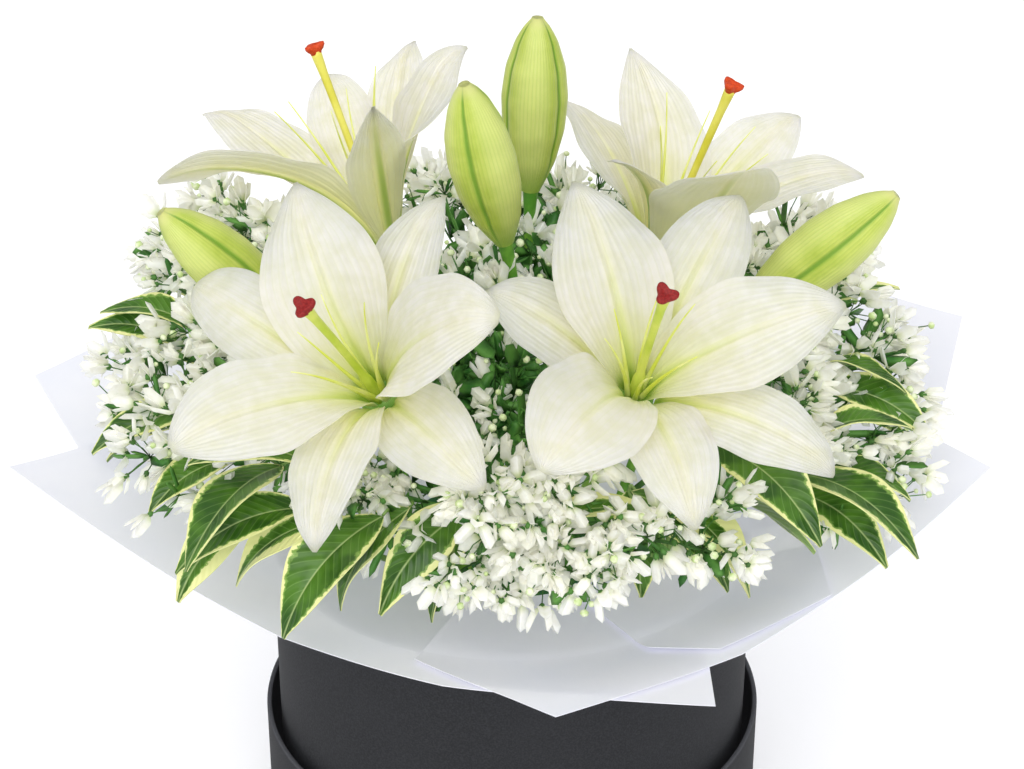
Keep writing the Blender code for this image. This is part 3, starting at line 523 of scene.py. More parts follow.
def lily_petal(settings):
    """A lily's tepal: living tissue, waxy and a little see-through, creamy white with fine
    parallel veins, a yellow-green midrib that deepens to the green furrow of the throat, and
    a yellowish nib. Outside, the midrib is a green keel."""
    values = {"Roughness": 0.42, "IOR": 1.42, "Specular IOR Level": 0.35}
    values |= {"Subsurface Weight": 0.75, "Subsurface Scale": 5 * MM}
    values |= {"Subsurface Radius": (1.0, 0.95, 0.7)}
    material, tree, shader = finish_of("waxy_lily_petal", values)
    along, across = mark_of(tree, "along"), mark_of(tree, "across_mm")
    side, outer = mark_of(tree, "side"), mark_of(tree, "outer")
    mottle = noise_of(tree, 9 * MM, 3)
    colour = blended(tree, spread_of(tree, mottle, 0.3, 0.7), settings.petal, linear("#D0CCB6"))
    # parallel veins, about eight on each side of the midrib, meeting at both ends
    uneven = times(tree, noise_of(tree, 26 * MM, 2), 0.10)
    place = math_of(tree, "ADD", side, uneven)
    ripple = math_of(tree, "COSINE", times(tree, place, 17 * math.pi))
    veins = spread_of(tree, ripple, 0.55, 1.0)
    veins = times(tree, veins, spread_of(tree, along, 1.0, 0.75))
    colour = tinted(tree, colour, veins, 0.24, linear("#C8CAA0"))
    fade = spread_of(tree, along, 0.75, 0.05)
    glow = times(tree, bell_of(tree, across, 9.0), fade)
    colour = tinted(tree, colour, glow, 0.45, linear("#DEE09C"))
    line = times(tree, bell_of(tree, across, 1.9), spread_of(tree, along, 0.85, 0.15))
    colour = tinted(tree, colour, line, 0.55, settings.rib)
    furrow = times(tree, bell_of(tree, across, 3.2), spread_of(tree, along, 0.34, 0.06))
    colour = tinted(tree, colour, furrow, 0.9, settings.throat)
    warm = times(tree, spread_of(tree, along, 0.42, 0.05), 0.55)
    colour = blended(tree, warm, colour, linear("#DADF88"))
    deep = spread_of(tree, along, 0.14, 0.03)
    colour = tinted(tree, colour, deep, 0.85, linear("#8DB02F"))
    # the outer side: a pale yellow tint of its own, lifted much lighter as painted light, a glow
    # that stands in for light shining through the tepal
    outer_tint_and_glow = times(tree, bell_of(tree, across, 38.0), spread_of(tree, along, 1.3, 0.1))
    outer_tint_and_glow = times(tree, outer_tint_and_glow, outer)
    colour = tinted(tree, colour, outer_tint_and_glow, 0.9, linear("#FFF8B0"))
    keel = times(tree, bell_of(tree, across, 1.5), spread_of(tree, along, 1.1, 0.3))
    keel = times(tree, keel, outer)
    colour = tinted(tree, colour, keel, 0.85, linear("#8FAE45"))
    nib = spread_of(tree, along, 0.955, 0.995)
    colour = tinted(tree, colour, nib, 0.5, linear("#E4E4A0"))
    tree.links.new(colour, shader.inputs["Base Color"])
    grain = noise_of(tree, 0.8 * MM, 2)
    height = math_of(tree, "MULTIPLY_ADD", grain, 0.35, ripple)
    raised(tree, shader, height, 0.07 * MM)
    return material


def bud_skin(settings):
    """A closed lily bud: waxy living skin, lime green with paler rounded ribs, dark seams and
    fine lines along it."""
    values = {"Roughness": 0.38, "IOR": 1.42, "Specular IOR Level": 0.4}
    values |= {"Subsurface Weight": 0.2, "Subsurface Scale": 3 * MM}
    values |= {"Subsurface Radius": (0.9, 1.0, 0.4)}
    material, tree, shader = finish_of("waxy_lily_bud", values)
    along, seam, turn = mark_of(tree, "along"), mark_of(tree, "seam"), mark_of(tree, "turn")
    mottle = noise_of(tree, 12 * MM, 3)
    colour = blended(tree, spread_of(tree, mottle, 0.3, 0.7), settings.skin, linear("#ACBD4C"))
    crest = spread_of(tree, seam, 0.45, 1.0)
    colour = tinted(tree, colour, crest, 0.5, linear("#D8DD90"))
    ripple = math_of(tree, "COSINE", times(tree, turn, 54.0))
    lines = times(tree, spread_of(tree, ripple, 0.3, 1.0), 0.22)
    colour = blended(tree, lines, colour, linear("#93B53F"))
    dark = spread_of(tree, seam, 0.22, 0.04)
    colour = tinted(tree, colour, dark, 0.85, settings.seam)
    foot = spread_of(tree, along, 0.22, 0.0)
    colour = tinted(tree, colour, foot, 0.7, linear("#8DB43C"))
    tip = spread_of(tree, along, 0.93, 1.0)
    colour = tinted(tree, colour, tip, 0.7, linear("#D9D98E"))
    tree.links.new(colour, shader.inputs["Base Color"])
    raised(tree, shader, ripple, 0.06 * MM)
    return material


def plant_skin(name, low, high, size, rough, glow=0.0):
    """Smooth living skin of a stem, filament or bud, mottled between two colours."""
    values = {"Roughness": rough, "IOR": 1.42, "Specular IOR Level": 0.4}
    values |= {"Subsurface Weight": glow, "Subsurface Scale": 3 * MM}
    values |= {"Subsurface Radius": (1.0, 1.0, 0.9)}
    material, tree, shader = finish_of(name, values)
    mottle = noise_of(tree, size, 3)
    low, high = linear(low), linear(high)
    colour = blended(tree, spread_of(tree, mottle, 0.32, 0.68), low, high)
    tree.links.new(colour, shader.inputs["Base Color"])
    raised(tree, shader, mottle, 0.1 * MM, 0.4)
    return material


def papery_floret(settings):
    """A filler flower: thin satiny petals, white with a faint fold along them, and yellow-green
    where they join."""
    values = {"Roughness": 0.45, "IOR": 1.42, "Specular IOR Level": 0.35}
    values |= {"Subsurface Weight": 0.8, "Subsurface Scale": 3 * MM}
    values |= {"Subsurface Radius": (1.0, 1.0, 0.9)}
    material, tree, shader = finish_of("papery_floret", values)
    mottle = spread_of(tree, noise_of(tree, 5 * MM, 3), 0.32, 0.68)
    colour = blended(tree, mottle, settings.petal, linear("#F4F2E0"))
    foot = times(tree, spread_of(tree, mark_of(tree, "along"), 0.5, 0.05), 0.85)
    colour = blended(tree, foot, colour, linear("#A9BE55"))
    tree.links.new(colour, shader.inputs["Base Color"])
    raised(tree, shader, mottle, 0.1 * MM, 0.4)
    return material


def variegated_leaf(settings):
    """A variegated evergreen leaf: leathery and glossy, dark green in the middle with a ragged
    cream margin, a pale midrib and side veins that run forward to the margin."""
    values = {"Roughness": 0.32, "IOR": 1.45, "Specular IOR Level": 0.35, "Coat Weight": 0.06}
    values |= {"Coat Roughness": 0.25}
    material, tree, shader = finish_of("glossy_variegated_leaf", values)
    along, across, side = (mark_of(tree, n) for n in ("along", "across_mm", "side"))
    away = math_of(tree, "ABSOLUTE", side)
    ragged = noise_of(tree, 3.2 * MM, 3)
    cloud = noise_of(tree, 16 * MM, 2)
    mottled = blended(tree, spread_of(tree, cloud, 0.35, 0.65), settings.green, linear("#4A7421"))
    forward = times(tree, away, -2.6)
    slant = math_of(tree, "MULTIPLY_ADD", along, 13.0, forward)
    comb = math_of(tree, "COSINE", times(tree, slant, 2 * math.pi))
    veins = times(tree, spread_of(tree, comb, 0.86, 1.0), 0.16)
    colour = blended(tree, veins, mottled, linear("#9CC070"))
    # the cream eats in from the margin, further on some leaves, in tongues between the veins
    shifted = math_of(tree, "MULTIPLY_ADD", ragged, 0.42, away)
    shifted = math_of(tree, "ADD", shifted, times(tree, cloud, 0.30))
    shifted = math_of(tree, "ADD", shifted, times(tree, mark_of(tree, "cream"), 0.5))
    half_tone = spread_of(tree, shifted, 1.12, 1.20)
    colour = tinted(tree, colour, half_tone, 0.6, linear("#8FB255"))
    cream = spread_of(tree, shifted, 1.22, 1.26)
    colour = blended(tree, cream, colour, settings.margin)
    line = bell_of(tree, across, 0.40)
    colour = tinted(tree, colour, line, 0.55, linear("#C3D592"))
    below = mark_of(tree, "outer")
    colour = tinted(tree, colour, below, 0.35, linear("#9DB57C"))
    tree.links.new(colour, shader.inputs["Base Color"])
    raised(tree, shader, comb, 0.12 * MM, 0.8)
    return material


# ---------------------------------------------------------------- meshes


def piece(name, shape, material, nodes, crisp=False):
    """One finished piece. shape is its points, a list of face arrays, and values at its points.
    A crisp one is shaded with sharp edges round its rim."""
    points, faces, marks = shape
    mesh = bpy.data.meshes.new(name)
    corners = np.concatenate([part.ravel() for part in faces])
    sizes = np.concatenate([np.full(len(part), part.shape[1]) for part in faces])
    mesh.vertices.add(len(points))
    mesh.vertices.foreach_set("co", points.astype(np.float32).ravel())
    mesh.loops.add(len(corners))
    mesh.loops.foreach_set("vertex_index", corners.astype(np.int32))
    mesh.polygons.add(len(sizes))
    starts = np.concatenate([[0], np.cumsum(sizes)[:-1]])
    mesh.polygons.foreach_set("loop_start", starts.astype(np.int32))
    for mark, values in marks.items():
        layer = mesh.attributes.new(mark, "FLOAT", "POINT")
        layer.data.foreach_set("value", np.asarray(values, np.float32).ravel())
    mesh.update(calc_edges=True)
    mesh.shade_smooth()
    if crisp:
        mesh.set_sharp_from_angle(angle=math.radians(50))
    mesh.materials.append(material)
    obj = bpy.data.objects.new(name, mesh)
    bpy.context.scene.collection.objects.link(obj)
    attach(obj, BODY)
    if nodes:
        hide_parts(*nodes)
    return obj


def joined(shapes):
    """Several shapes as one: their points and values end to end, and their faces moved on."""
    points, faces, marks, start = [], [], {}, 0
    for some, parts, values in shapes:
        points.append(some)
        faces += [part + start for part in parts]
        for name, value in values.items():
            marks.setdefault(name, []).append(np.asarray(value).ravel())
        start += len(some)
    return np.concatenate(points), faces, {n: np.concatenate(v) for n, v in marks.items()}


def grid_quads(rows, columns):
    """Quads between the points of a grid, numbered row by row."""
    index = np.arange(rows * columns).reshape(rows, columns)
    corners = (index[:-1, :-1], index[:-1, 1:], index[1:, 1:], index[1:, :-1])
    return np.stack([corner.ravel() for corner in corners], 1)


def normals_of(points):
    """Unit normals of a grid: its rows' direction crossed with its columns' direction."""
    cross = np.cross(np.gradient(points, axis=0), np.gradient(points, axis=1))
    return cross / np.maximum(np.linalg.norm(cross, axis=-1, keepdims=True), 1e-12)


def leafy(points, thickness, marks):
    """A closed thin body: the grid as its upper side, the grid moved back along its normals by
    the thickness at each point as its lower side, and a rim of quads between their borders."""
    rows, columns = points.shape[:2]
    below = points - normals_of(points) * thickness[..., None]
    quads = grid_quads(rows, columns)
    count = rows * columns
    index = np.arange(count).reshape(rows, columns)
    border = [index[0, :-1], index[:-1, -1], index[-1, :0:-1], index[:0:-1, 0]]
    border = np.concatenate(border)
    after = np.roll(border, -1)
    rim = np.stack([border, border + count, after + count, after], 1)
    faces = [quads[:, ::-1], quads + count, rim]
    both = {name: np.concatenate([value.ravel()] * 2) for name, value in marks.items()}
    both["outer"] = np.repeat([0.0, 1.0], count)
    every = np.concatenate([points.reshape(-1, 3), below.reshape(-1, 3)])
    return every, faces, both


def ringed(rings, low_pole, high_pole, marks=None):
    """Closed bodies from rings of points (bodies, rows, sides, 3), with fans to their poles."""
    bodies, rows, sides = rings.shape[:3]
    each = rows * sides + 2
    base = np.arange(sides)
    after = (base + 1) % sides
    ring = np.arange(rows - 1)[:, None] * sides
    quads = np.stack([ring + base, ring + after, ring + sides + after, ring + sides + base], -1)
    quads = quads.reshape(-1, 4)
    low = np.stack([np.full(sides, each - 2), after, base], 1)
    top = (rows - 1) * sides
    high = np.stack([np.full(sides, each - 1), top + base, top + after], 1)
    shift = (np.arange(bodies) * each)[:, None, None]
    faces = [(part[None] + shift).reshape(-1, part.shape[1]) for part in (quads, low, high)]
    every = np.concatenate(
        [rings.reshape(bodies, -1, 3), low_pole[:, None], high_pole[:, None]], axis=1
    )
    return every.reshape(-1, 3), faces, marks or {}


def unit(vectors):
    return vectors / np.maximum(np.linalg.norm(vectors, axis=-1, keepdims=True), 1e-12)


def rings_of(reach, angle, rise):
    """Rings of points round the Z axis: at a reach from it, at each angle, and at a height."""
    x = reach * np.cos(angle)
    return np.stack([x, reach * np.sin(angle), np.broadcast_to(rise, x.shape)], -1)


def tubes(paths, radii, sides):
    """Round bars along paths (bars, rows, 3) with a radius at each row (bars, rows). A ring lies
    across the path's direction, and its first point keeps to one side of the whole bar."""
    along = unit(np.gradient(paths, axis=1))
    chord = unit(paths[:, -1] - paths[:, 0])
    steep = np.abs(chord[:, 2:]) > 0.8
    helper = np.where(steep, np.array([[0.0, 1.0, 0.0]]), np.array([[0.0, 0.0, 1.0]]))
    across = unit(np.cross(along, helper[:, None]))
    up = np.cross(across, along)
    angle = np.arange(sides) * 2 * math.pi / sides
    ring = (
        across[:, :, None] * np.cos(angle)[:, None] + up[:, :, None] * np.sin(angle)[:, None]
    )
    rings = paths[:, :, None] + ring * radii[:, :, None, None]
    # the ring turns the other way round the path, so it is read backwards to face outwards
    rings = rings[:, :, ::-1]
    return ringed(rings, paths[:, 0], paths[:, -1])


def lathe(profile, steps, marks=None):
    """A closed outline of (radius, height) turned round the Z axis. It runs up the outside and
    down the inside, and its first and last points are on the axis."""
    profile = np.array(profile)
    inner = profile[1:-1]
    angle = np.arange(steps) * 2 * math.pi / steps
    rings = rings_of(inner[:, 0, None], angle, inner[:, 1, None])[None]
    low, high = (np.array([[0, 0, profile[i, 1]]]) for i in (0, -1))
    values = {}
    for name, value in (marks or {}).items():
        per_ring = np.repeat(np.array(value)[1:-1], steps)
        values[name] = np.concatenate([per_ring, [value[0], value[-1]]])
    return ringed(rings, low, high, values)


def repeated(shape, turns, places, sizes):
    """Copies of one small shape, each turned (n, 3, 3), scaled and put in its place."""
    points, faces, marks = shape
    copies = np.einsum("nij,kj->nki", turns, points) * sizes[:, None, None] + places[:, None]
    shift = (np.arange(len(places)) * len(points))[:, None, None]
    faces = [(part[None] + shift).reshape(-1, part.shape[1]) for part in faces]
    marks = {name: np.tile(value, len(places)) for name, value in marks.items()}
    return copies.reshape(-1, 3), faces, marks


def turns_to(ways, spin):
    """Rotations (n, 3, 3) that take Z to each way, after a spin about Z."""
    z = unit(ways)
    helper = np.where(np.abs(z[:, 2:]) > 0.9, np.array([[1.0, 0, 0]]), np.array([[0, 0, 1.0]]))
    x = unit(np.cross(helper, z))
    y = np.cross(z, x)
    c, s = np.cos(spin)[:, None], np.sin(spin)[:, None]
    return np.stack([x * c + y * s, y * c - x * s, z], -1)


def curve_between(start, start_way, end, end_way, count, pull=0.4):
    """Points on a smooth cubic curve that leaves start one way and arrives at end another."""
    start, end = np.asarray(start, float), np.asarray(end, float)
    reach = np.linalg.norm(end - start) * pull
    first = start + unit(np.asarray(start_way, float)) * reach
    second = end - unit(np.asarray(end_way, float)) * reach
    t = np.linspace(0, 1, count)[:, None]
    u = 1 - t
    return start * u**3 + 3 * first * u * u * t + 3 * second * u * t * t + end * t**3


def above_rim(place):
    return np.array((place[0] * MM, place[1] * MM, RIM + place[2] * MM))


# ---------------------------------------------------------------- box and foam


def cup_profile(radius, low, high, wall, floor):
    """Outline of a round cup with a softened rim, and how much painted highlight each of its points
    gets.
    """
    soft = min(0.9 * MM, wall * 0.36)
    outline = [
        (0, low, 0),
        (radius - 1.2 * MM, low, 0.1),
        (radius - 0.3 * MM, low + 0.3 * MM, 0.8),
        (radius, low + 1.2 * MM, 0.3),
        (radius, low + 4 * MM, 0),
        (radius, high - 4 * MM, 0),
        (radius, high - soft * 1.6, 0.1),
        (radius - soft * 0.3, high - soft * 0.3, 1),
        (radius - soft, high, 0.8),
        (radius - wall + soft, high, 0.8),
        (radius - wall + soft * 0.3, high - soft * 0.3, 1),
        (radius - wall, high - soft * 1.6, 0.1),
        (radius - wall, low + floor + 1 * MM, 0),
        (radius - wall - 1 * MM, low + floor, 0),
        (0, low + floor, 0),
    ]
    return [point[:2] for point in outline], [point[2] for point in outline]


class LILIES_OT_box(bpy.types.Operator):
    """Box and the lid that stands under it as a tray: covered board with softened rims and a
    painted highlight along them
    """

    bl_idname = "lilies.box"
    bl_label = "Make box and tray"

    def execute(self, context):
        material = covered_board(context.scene.lily_box)
        for name, low, high in (("lid_tray", TRAY_LOW, TRAY_HIGH), ("box", BOX_LOW, BOX_HIGH)):
            # the 'edge' values are the share of painted highlight at each point of the outline
            profile, highlight_share = cup_profile(high.x, low.z, high.z, BOARD, BASE_BOARD)
            shape = lathe(profile, BOX_STEPS, {"edge": highlight_share})
            piece(f"{name}_board", shape, material, [name])
        return {"FINISHED"}


class LILIES_OT_foam(bpy.types.Operator):
    """Floral foam as it was cut, in its film liner"""

    bl_idname = "lilies.foam"
    bl_label = "Make foam and liner"

    def execute(self, context):
        foam = frame["nodes"]["floral_foam"]
        foam.data.materials.clear()
        foam.data.materials.append(wet_foam())
        sizes = LINER_HIGH.x, LINER_LOW.z, LINER_HIGH.z, LINER_WALL, LINER_WALL
        shape = lathe(cup_profile(*sizes)[0], LINER_STEPS)
        piece("liner_film", shape, clear_film(), ["foam_liner"])
        return {"FINISHED"}


# ---------------------------------------------------------------- paper


def paper_height(radius, azimuth):
    """Height of the lowest sheet: it dips inside the box, then rises outwards, least in front."""
    front = (1 - np.sin(azimuth)) / 2
    slope = PAPER_SLOPE - (PAPER_SLOPE - PAPER_SLOPE_FRONT) * front**2
    beyond = np.maximum(radius - BOX_RADIUS, 0)
    inside = np.clip((BOX_RADIUS - 3 * MM - radius) / (PAPER_TUCK - 3 * MM), 0, 1)
    return RIM + PAPER_ABOVE_RIM + slope * beyond - PAPER_DROP * inside


def paper_wave(radius, azimuth, height):
    """Shallow waves that all sheets share: sines round the box that grow outwards."""
    out = np.clip((radius - BOX_RADIUS - 4 * MM) / (90 * MM), 0, 1.2) ** 1.3
    wave = np.sin(5 * azimuth + 0.8) * 0.6 + np.sin(8.3 * azimuth - 1.1) * 0.35
    wave = wave + np.sin(3.1 * azimuth + radius * 36) * 0.35
    return height * out * (wave + 0.9)


def straight_edge(azimuths, corners):
    """Distance from the axis, at each azimuth, of the straight edges through the corners."""
    angles = np.radians([corner[0] for corner in corners])
    radii = BOX_RADIUS + np.array([corner[1] for corner in corners]) * MM
    place = np.clip(np.searchsorted(angles, azimuths, side="right") - 1, 0, len(angles) - 2)
    a0, a1, r0, r1 = angles[place], angles[place + 1], radii[place], radii[place + 1]
    return r0 * r1 * np.sin(a1 - a0) / (r0 * np.sin(azimuths - a0) + r1 * np.sin(a1 - azimuths))


def rim_lifts():
    """How high each sheet passes over the box's edge, at each half degree round it: one step
    above the sheets that lie under it there, widened and then averaged over a few degrees."""
    turns = np.arange(0, 360, 0.5)
    near = range(-PAPER_BLEND, PAPER_BLEND + 1)
    lifts = {}
    for name in SHEETS:
        need = np.zeros(len(turns))
        for under, lift in lifts.items():
            corners = SHEETS[under][1]
            low, high = corners[0][0], corners[-1][0]
            there = (turns - low) % 360 <= high - low
            need = np.maximum(need, np.where(there, lift + PAPER_STEP, 0))
        wide = np.max([np.roll(need, shift) for shift in near], axis=0)
        lifts[name] = np.mean([np.roll(wide, shift) for shift in near], axis=0)
    return lifts


def paper_shape(level, lift, corners, settings):
    """One sheet as a closed thin body on a grid of azimuth and distance, with the two sizes of
    its cut and its flat area, found from the outline laid flat. It lies close over the box's
    edge and comes up to its own level further out."""
    low, high = math.radians(corners[0][0]), math.radians(corners[-1][0])
    turns = [math.radians(corner[0]) for corner in corners]
    azimuths = np.unique(np.concatenate([np.linspace(low, high, 110), turns]))
    edge = straight_edge(azimuths, corners)
    inner = BOX_RADIUS - PAPER_TUCK
    share = np.linspace(0, 1, 40)[:, None]
    start = np.array([0, 12, 24, 36, 46, 54, 60]) * MM
    radius = np.concatenate(
        [
            np.broadcast_to((inner + start)[:, None], (len(start), len(azimuths))),
            inner + start[-1] + 2 * MM + share * (edge - inner - start[-1] - 2 * MM),
        ]
    )
    close = np.interp(np.degrees(azimuths), np.arange(0, 360, 0.5), lift, period=360)
    out = np.clip((radius - BOX_RADIUS) / PAPER_SETTLE, 0, 1)
    out = out * out * (3 - 2 * out)
    height = paper_height(radius, azimuths[None])
    height = height + close * (1 - out) + level * PAPER_STEP * out
    height = height + paper_wave(radius, azimuths[None], settings.wave)
    # a soft lift along the free edge of each sheet, more for the upper ones, so none cross
    height = height + (0.25 + 0.2 * level) * MM * np.concatenate([0 * start[:, None], share]) ** 2
    points = np.stack([radius * np.cos(azimuths), radius * np.sin(azimuths), height], -1)
    area = float(np.trapz((edge**2 - inner**2) / 2, azimuths))
    flat = points[..., :2].reshape(-1, 2)
    spread = flat.max(0) - flat.min(0)
    thickness = np.full(points.shape[:2], settings.thickness)
    return leafy(points, thickness, {}), tuple(float(value) for value in spread), area


class LILIES_OT_paper(bpy.types.Operator):
    """Ruff of wrapping paper: overlapping sheets laid over the rim under the flowers"""

    bl_idname = "lilies.paper"
    bl_label = "Make paper ruff"

    def execute(self, context):
        settings = context.scene.lily_paper
        material = wrapping_paper(settings)
        lifts = rim_lifts()
        for name, (level, corners) in SHEETS.items():
            shape, spread, area = paper_shape(level, lifts[name], corners, settings)
            node = f"paper_{name}"
            sheet = piece(f"{node}_sheet", shape, material, [node], crisp=True)
            area = min(area, spread[0] * spread[1])
        return {"FINISHED"}


# ---------------------------------------------------------------- lilies


def axis_frame(axis):
    """Columns x, y and z of a frame whose z is the axis and whose y leans to the world's +Y."""
    z = unit(np.array(axis, float))
    y = np.array((0.0, 1.0, 0.0))
    y = unit(y - (y @ z) * z)
    return np.stack([np.cross(y, z), y, z], 1)


def throat_of(lily):
    return above_rim(lily["throat"]), axis_frame(lily["axis"])


def half_width(share, widest, fall):
    """Half the width of a tepal: a narrow claw, widest past the middle, and a tip that is the
    more pointed the larger the fall."""
    rise = 1.2
    peak = rise / (rise + fall)
    top = peak**rise * (1 - peak) ** fall
    return CLAW_HALF_WIDTH * (1 - share) + widest * share**rise * (1 - share) ** fall / top


def tepal_shape(spec, number, pointed, settings):
    """A tepal in its lily's frame. Its midrib leaves the throat at its layer's lean and opens
    with the length, to curl at the tip. Across it is an arc of the lily's roundness that
    flattens outwards, folded a little along the midrib, with a furrow between two low ridges
    there, fine pleats along it and margins that wave."""
    _, layer, length, at_throat, at_tip, opening, power, curl, wide, twist, fold, wave = spec
    start, lean = LAYERS[layer]
    widest = (INNER_HALF_WIDTH if layer == "inner" else OUTER_HALF_WIDTH) * wide
    length = length * MM
    share = 0.99 * np.sin(np.linspace(0, 1, TEPAL_ROWS) * math.pi / 2) ** 1.15
    fine = np.linspace(0, 1, 401)
    angle = lean + (opening - lean) * fine**power + curl * np.clip((fine - 0.75) / 0.25, 0, 1) ** 2
    angle = np.radians(angle)
    step = length / (len(fine) - 1)
    middle = (angle[1:] + angle[:-1]) / 2
    out = start + np.concatenate([[0], np.cumsum(np.sin(middle) * step)])
    up = np.concatenate([[0], np.cumsum(np.cos(middle) * step)])
    out, up, angle = (np.interp(share, fine, values) for values in (out, up, angle))
    azimuth = np.radians(at_throat + (at_tip - at_throat) * share * share * (3 - 2 * share))
    wrap = np.interp(share, [0, 0.35, 0.8, 1], [1.0, 1.0, 0.25, 0.1])
    bend = np.maximum(wrap * np.maximum(np.cos(angle), 0.12) / out, 0.5)
    side = np.linspace(-1, 1, TEPAL_COLUMNS)
    side = np.sign(side) * np.abs(side) ** 1.25
    half = np.maximum(half_width(share, widest, pointed), TIP_HALF_WIDTH)
    turn = bend[:, None] * half[:, None] * side
    reach = np.sin(turn) / bend[:, None]
    lift = (1 - np.cos(turn)) / bend[:, None]
    arc = half[:, None] * side
    body = np.sin(np.pi * np.clip(share, 0, 1))[:, None] ** 0.6
    lift = lift + fold * np.abs(arc) * body * np.sqrt(np.abs(side))
    phase = number * 1.7
    ripple = np.sin(2 * math.pi * (2.6 * share[:, None] + 0.35 * np.sign(side)) + phase)
    ripple = ripple + 0.5 * np.sin(2 * math.pi * 4.7 * share[:, None] + 2.1 * phase + side)
    lift = lift + wave * MM * ripple * np.abs(side) ** 2.6 * body
    lift = lift - 0.06 * widest * np.abs(side) ** 4 * body  # margins bend back a little
    fade = (1 - share[:, None] ** 3) * np.clip(share[:, None] / 0.06, 0, 1)
    ridges = np.exp(-(((np.abs(arc) - RIDGE_DISTANCE) / RIDGE_WIDTH) ** 2))
    furrow = 0.8 * ridges - np.exp(-((arc / FURROW_WIDTH) ** 2))
    lift = lift + settings.rib_depth * furrow * fade
    lift = lift + 0.16 * MM * np.cos(8 * math.pi * side) * body
    tilt = np.radians(twist) * share[:, None] ** 2
    reach, lift = (
        reach * np.cos(tilt) - lift * np.sin(tilt),
        reach * np.sin(tilt) + lift * np.cos(tilt),
    )
    radial = np.stack([np.cos(azimuth), np.sin(azimuth), 0 * azimuth], 1)
    sideways = np.stack([-np.sin(azimuth), np.cos(azimuth), 0 * azimuth], 1)
    axial = np.array((0.0, 0.0, 1.0))
    rib = radial * out[:, None] + axial * up[:, None]
    inward = -radial * np.cos(angle)[:, None] + axial * np.sin(angle)[:, None]
    points = rib[:, None] + sideways[:, None] * reach[..., None] + inward[:, None] * lift[..., None]
    thickness = settings.thickness * (1 - 0.72 * np.abs(side) ** 1.4) * (1 - 0.45 * share[:, None])
    keel = KEEL_HEIGHT * np.exp(-((arc / KEEL_WIDTH) ** 2)) * fade
    thickness = thickness * np.clip((1 - share[:, None]) / 0.08, 0.35, 1)
    marks = {
        "along": np.broadcast_to(share[:, None], arc.shape),
        "side": np.broadcast_to(side, arc.shape),
        "across_mm": arc / MM,
    }
    return points, thickness + keel, marks


class LILIES_OT_tepals(bpy.types.Operator):
    """Tepals of the open lilies, each a thin closed body with midrib, pleats and waved margins"""

    bl_idname = "lilies.tepals"
    bl_label = "Make tepals"

    def execute(self, context):
        settings = context.scene.lily_lily
        material = lily_petal(settings)
        number = 0
        for name, lily in LILIES.items():
            throat, axes = throat_of(lily)
            for spec in lily["tepals"]:
                number += 1
                pointed = lily["pointed"].get(spec[0], POINTED[spec[1]])
                points, thickness, marks = tepal_shape(spec, number, pointed, settings)
                node = f"lily_{name}_tepal_{spec[0]}"
                shape = leafy(points @ axes.T + throat, thickness, marks)
                piece(f"{node}_petal", shape, material, [node], crisp=True)
        return {"FINISHED"}


def stem_path(base, way, spread, count):
    """Points from a stem's cut end in the foam up to its base, straight while it is in foam."""
    base = np.asarray(base, float)
    entry = np.array((base[0] * spread, base[1] * spread, FOAM_TOP))
    lean = unit(np.array((base[0] * 0.28, base[1] * 0.28, 0.12)))
    inside = entry - lean * 60 * MM
    path = curve_between(entry + lean * 6 * MM, lean, base, way, count)
    return np.concatenate([[inside, (inside + path[0]) / 2], path])


class LILIES_OT_stems(bpy.types.Operator):
    """Stems of the lilies, swollen under the flower where the tepals join"""

    bl_idname = "lilies.stems"
    bl_label = "Make lily stems"

    def execute(self, context):
        material = plant_skin("smooth_lily_stem", "#5E8F33", "#86AE4A", 14 * MM, 0.45, 0.1)
        for name, lily in LILIES.items():
            throat, axes = throat_of(lily)
            axis = axes[:, 2]
            path = stem_path(throat - axis * 16 * MM, axis, 0.4, 22)
            below = np.array([13, 10, 7, 4.5, 2.5, 1.2]) * MM
            swell = np.array([0.42, 0.5, 0.66, 0.84, 0.96, 1.0]) * RECEPTACLE_RADIUS
            path = np.concatenate([path, throat - axis * below[:, None]])
            radii = np.concatenate([np.full(len(path) - 6, LILY_STEM_RADIUS), swell])
            shape = tubes(path[None], radii[None], 20)
            node = f"lily_{name}_stem"
            piece(f"{node}_skin", shape, material, [node])
        return {"FINISHED"}


class LILIES_OT_stamens(bpy.types.Operator):
    """Filaments whose anthers were pinched off, as florists do, round each pistil"""

    bl_idname = "lilies.stamens"
    bl_label = "Make stamens"

    def execute(self, context):
        material = plant_skin("smooth_filament", "#D3DC55", "#E9EC9A", 18 * MM, 0.4, 0.2)
        share = np.linspace(0, 1, 16)
        for number, (name, lily) in enumerate(LILIES.items()):
            throat, axes = throat_of(lily)
            paths = []
            for i in range(FILAMENTS):
                azimuth = math.radians(30 + 360 / FILAMENTS * i) + 0.10 * math.sin(3 * i + number)
                length = (lily["filament"] + 4 * math.sin(2.3 * i + number)) * MM
                out = 3.4 * MM + length * (0.15 * share + 0.16 * share**2)
                up = 0.7 * MM + length * share * 0.96
                sway = 0.05 * length * np.sin(2.2 * share + i) * share
                c, s = math.cos(azimuth), math.sin(azimuth)
                paths.append(np.stack([out * c - sway * s, out * s + sway * c, up], 1))
            radii = (1.5 - 1.25 * share**0.7) * MM
            paths = np.array(paths) @ axes.T + throat
            shape = tubes(paths, np.broadcast_to(radii, paths.shape[:2]), 10)
            node = f"lily_{name}_stamens"
            piece(f"{node}_filaments", shape, material, [node])
        return {"FINISHED"}


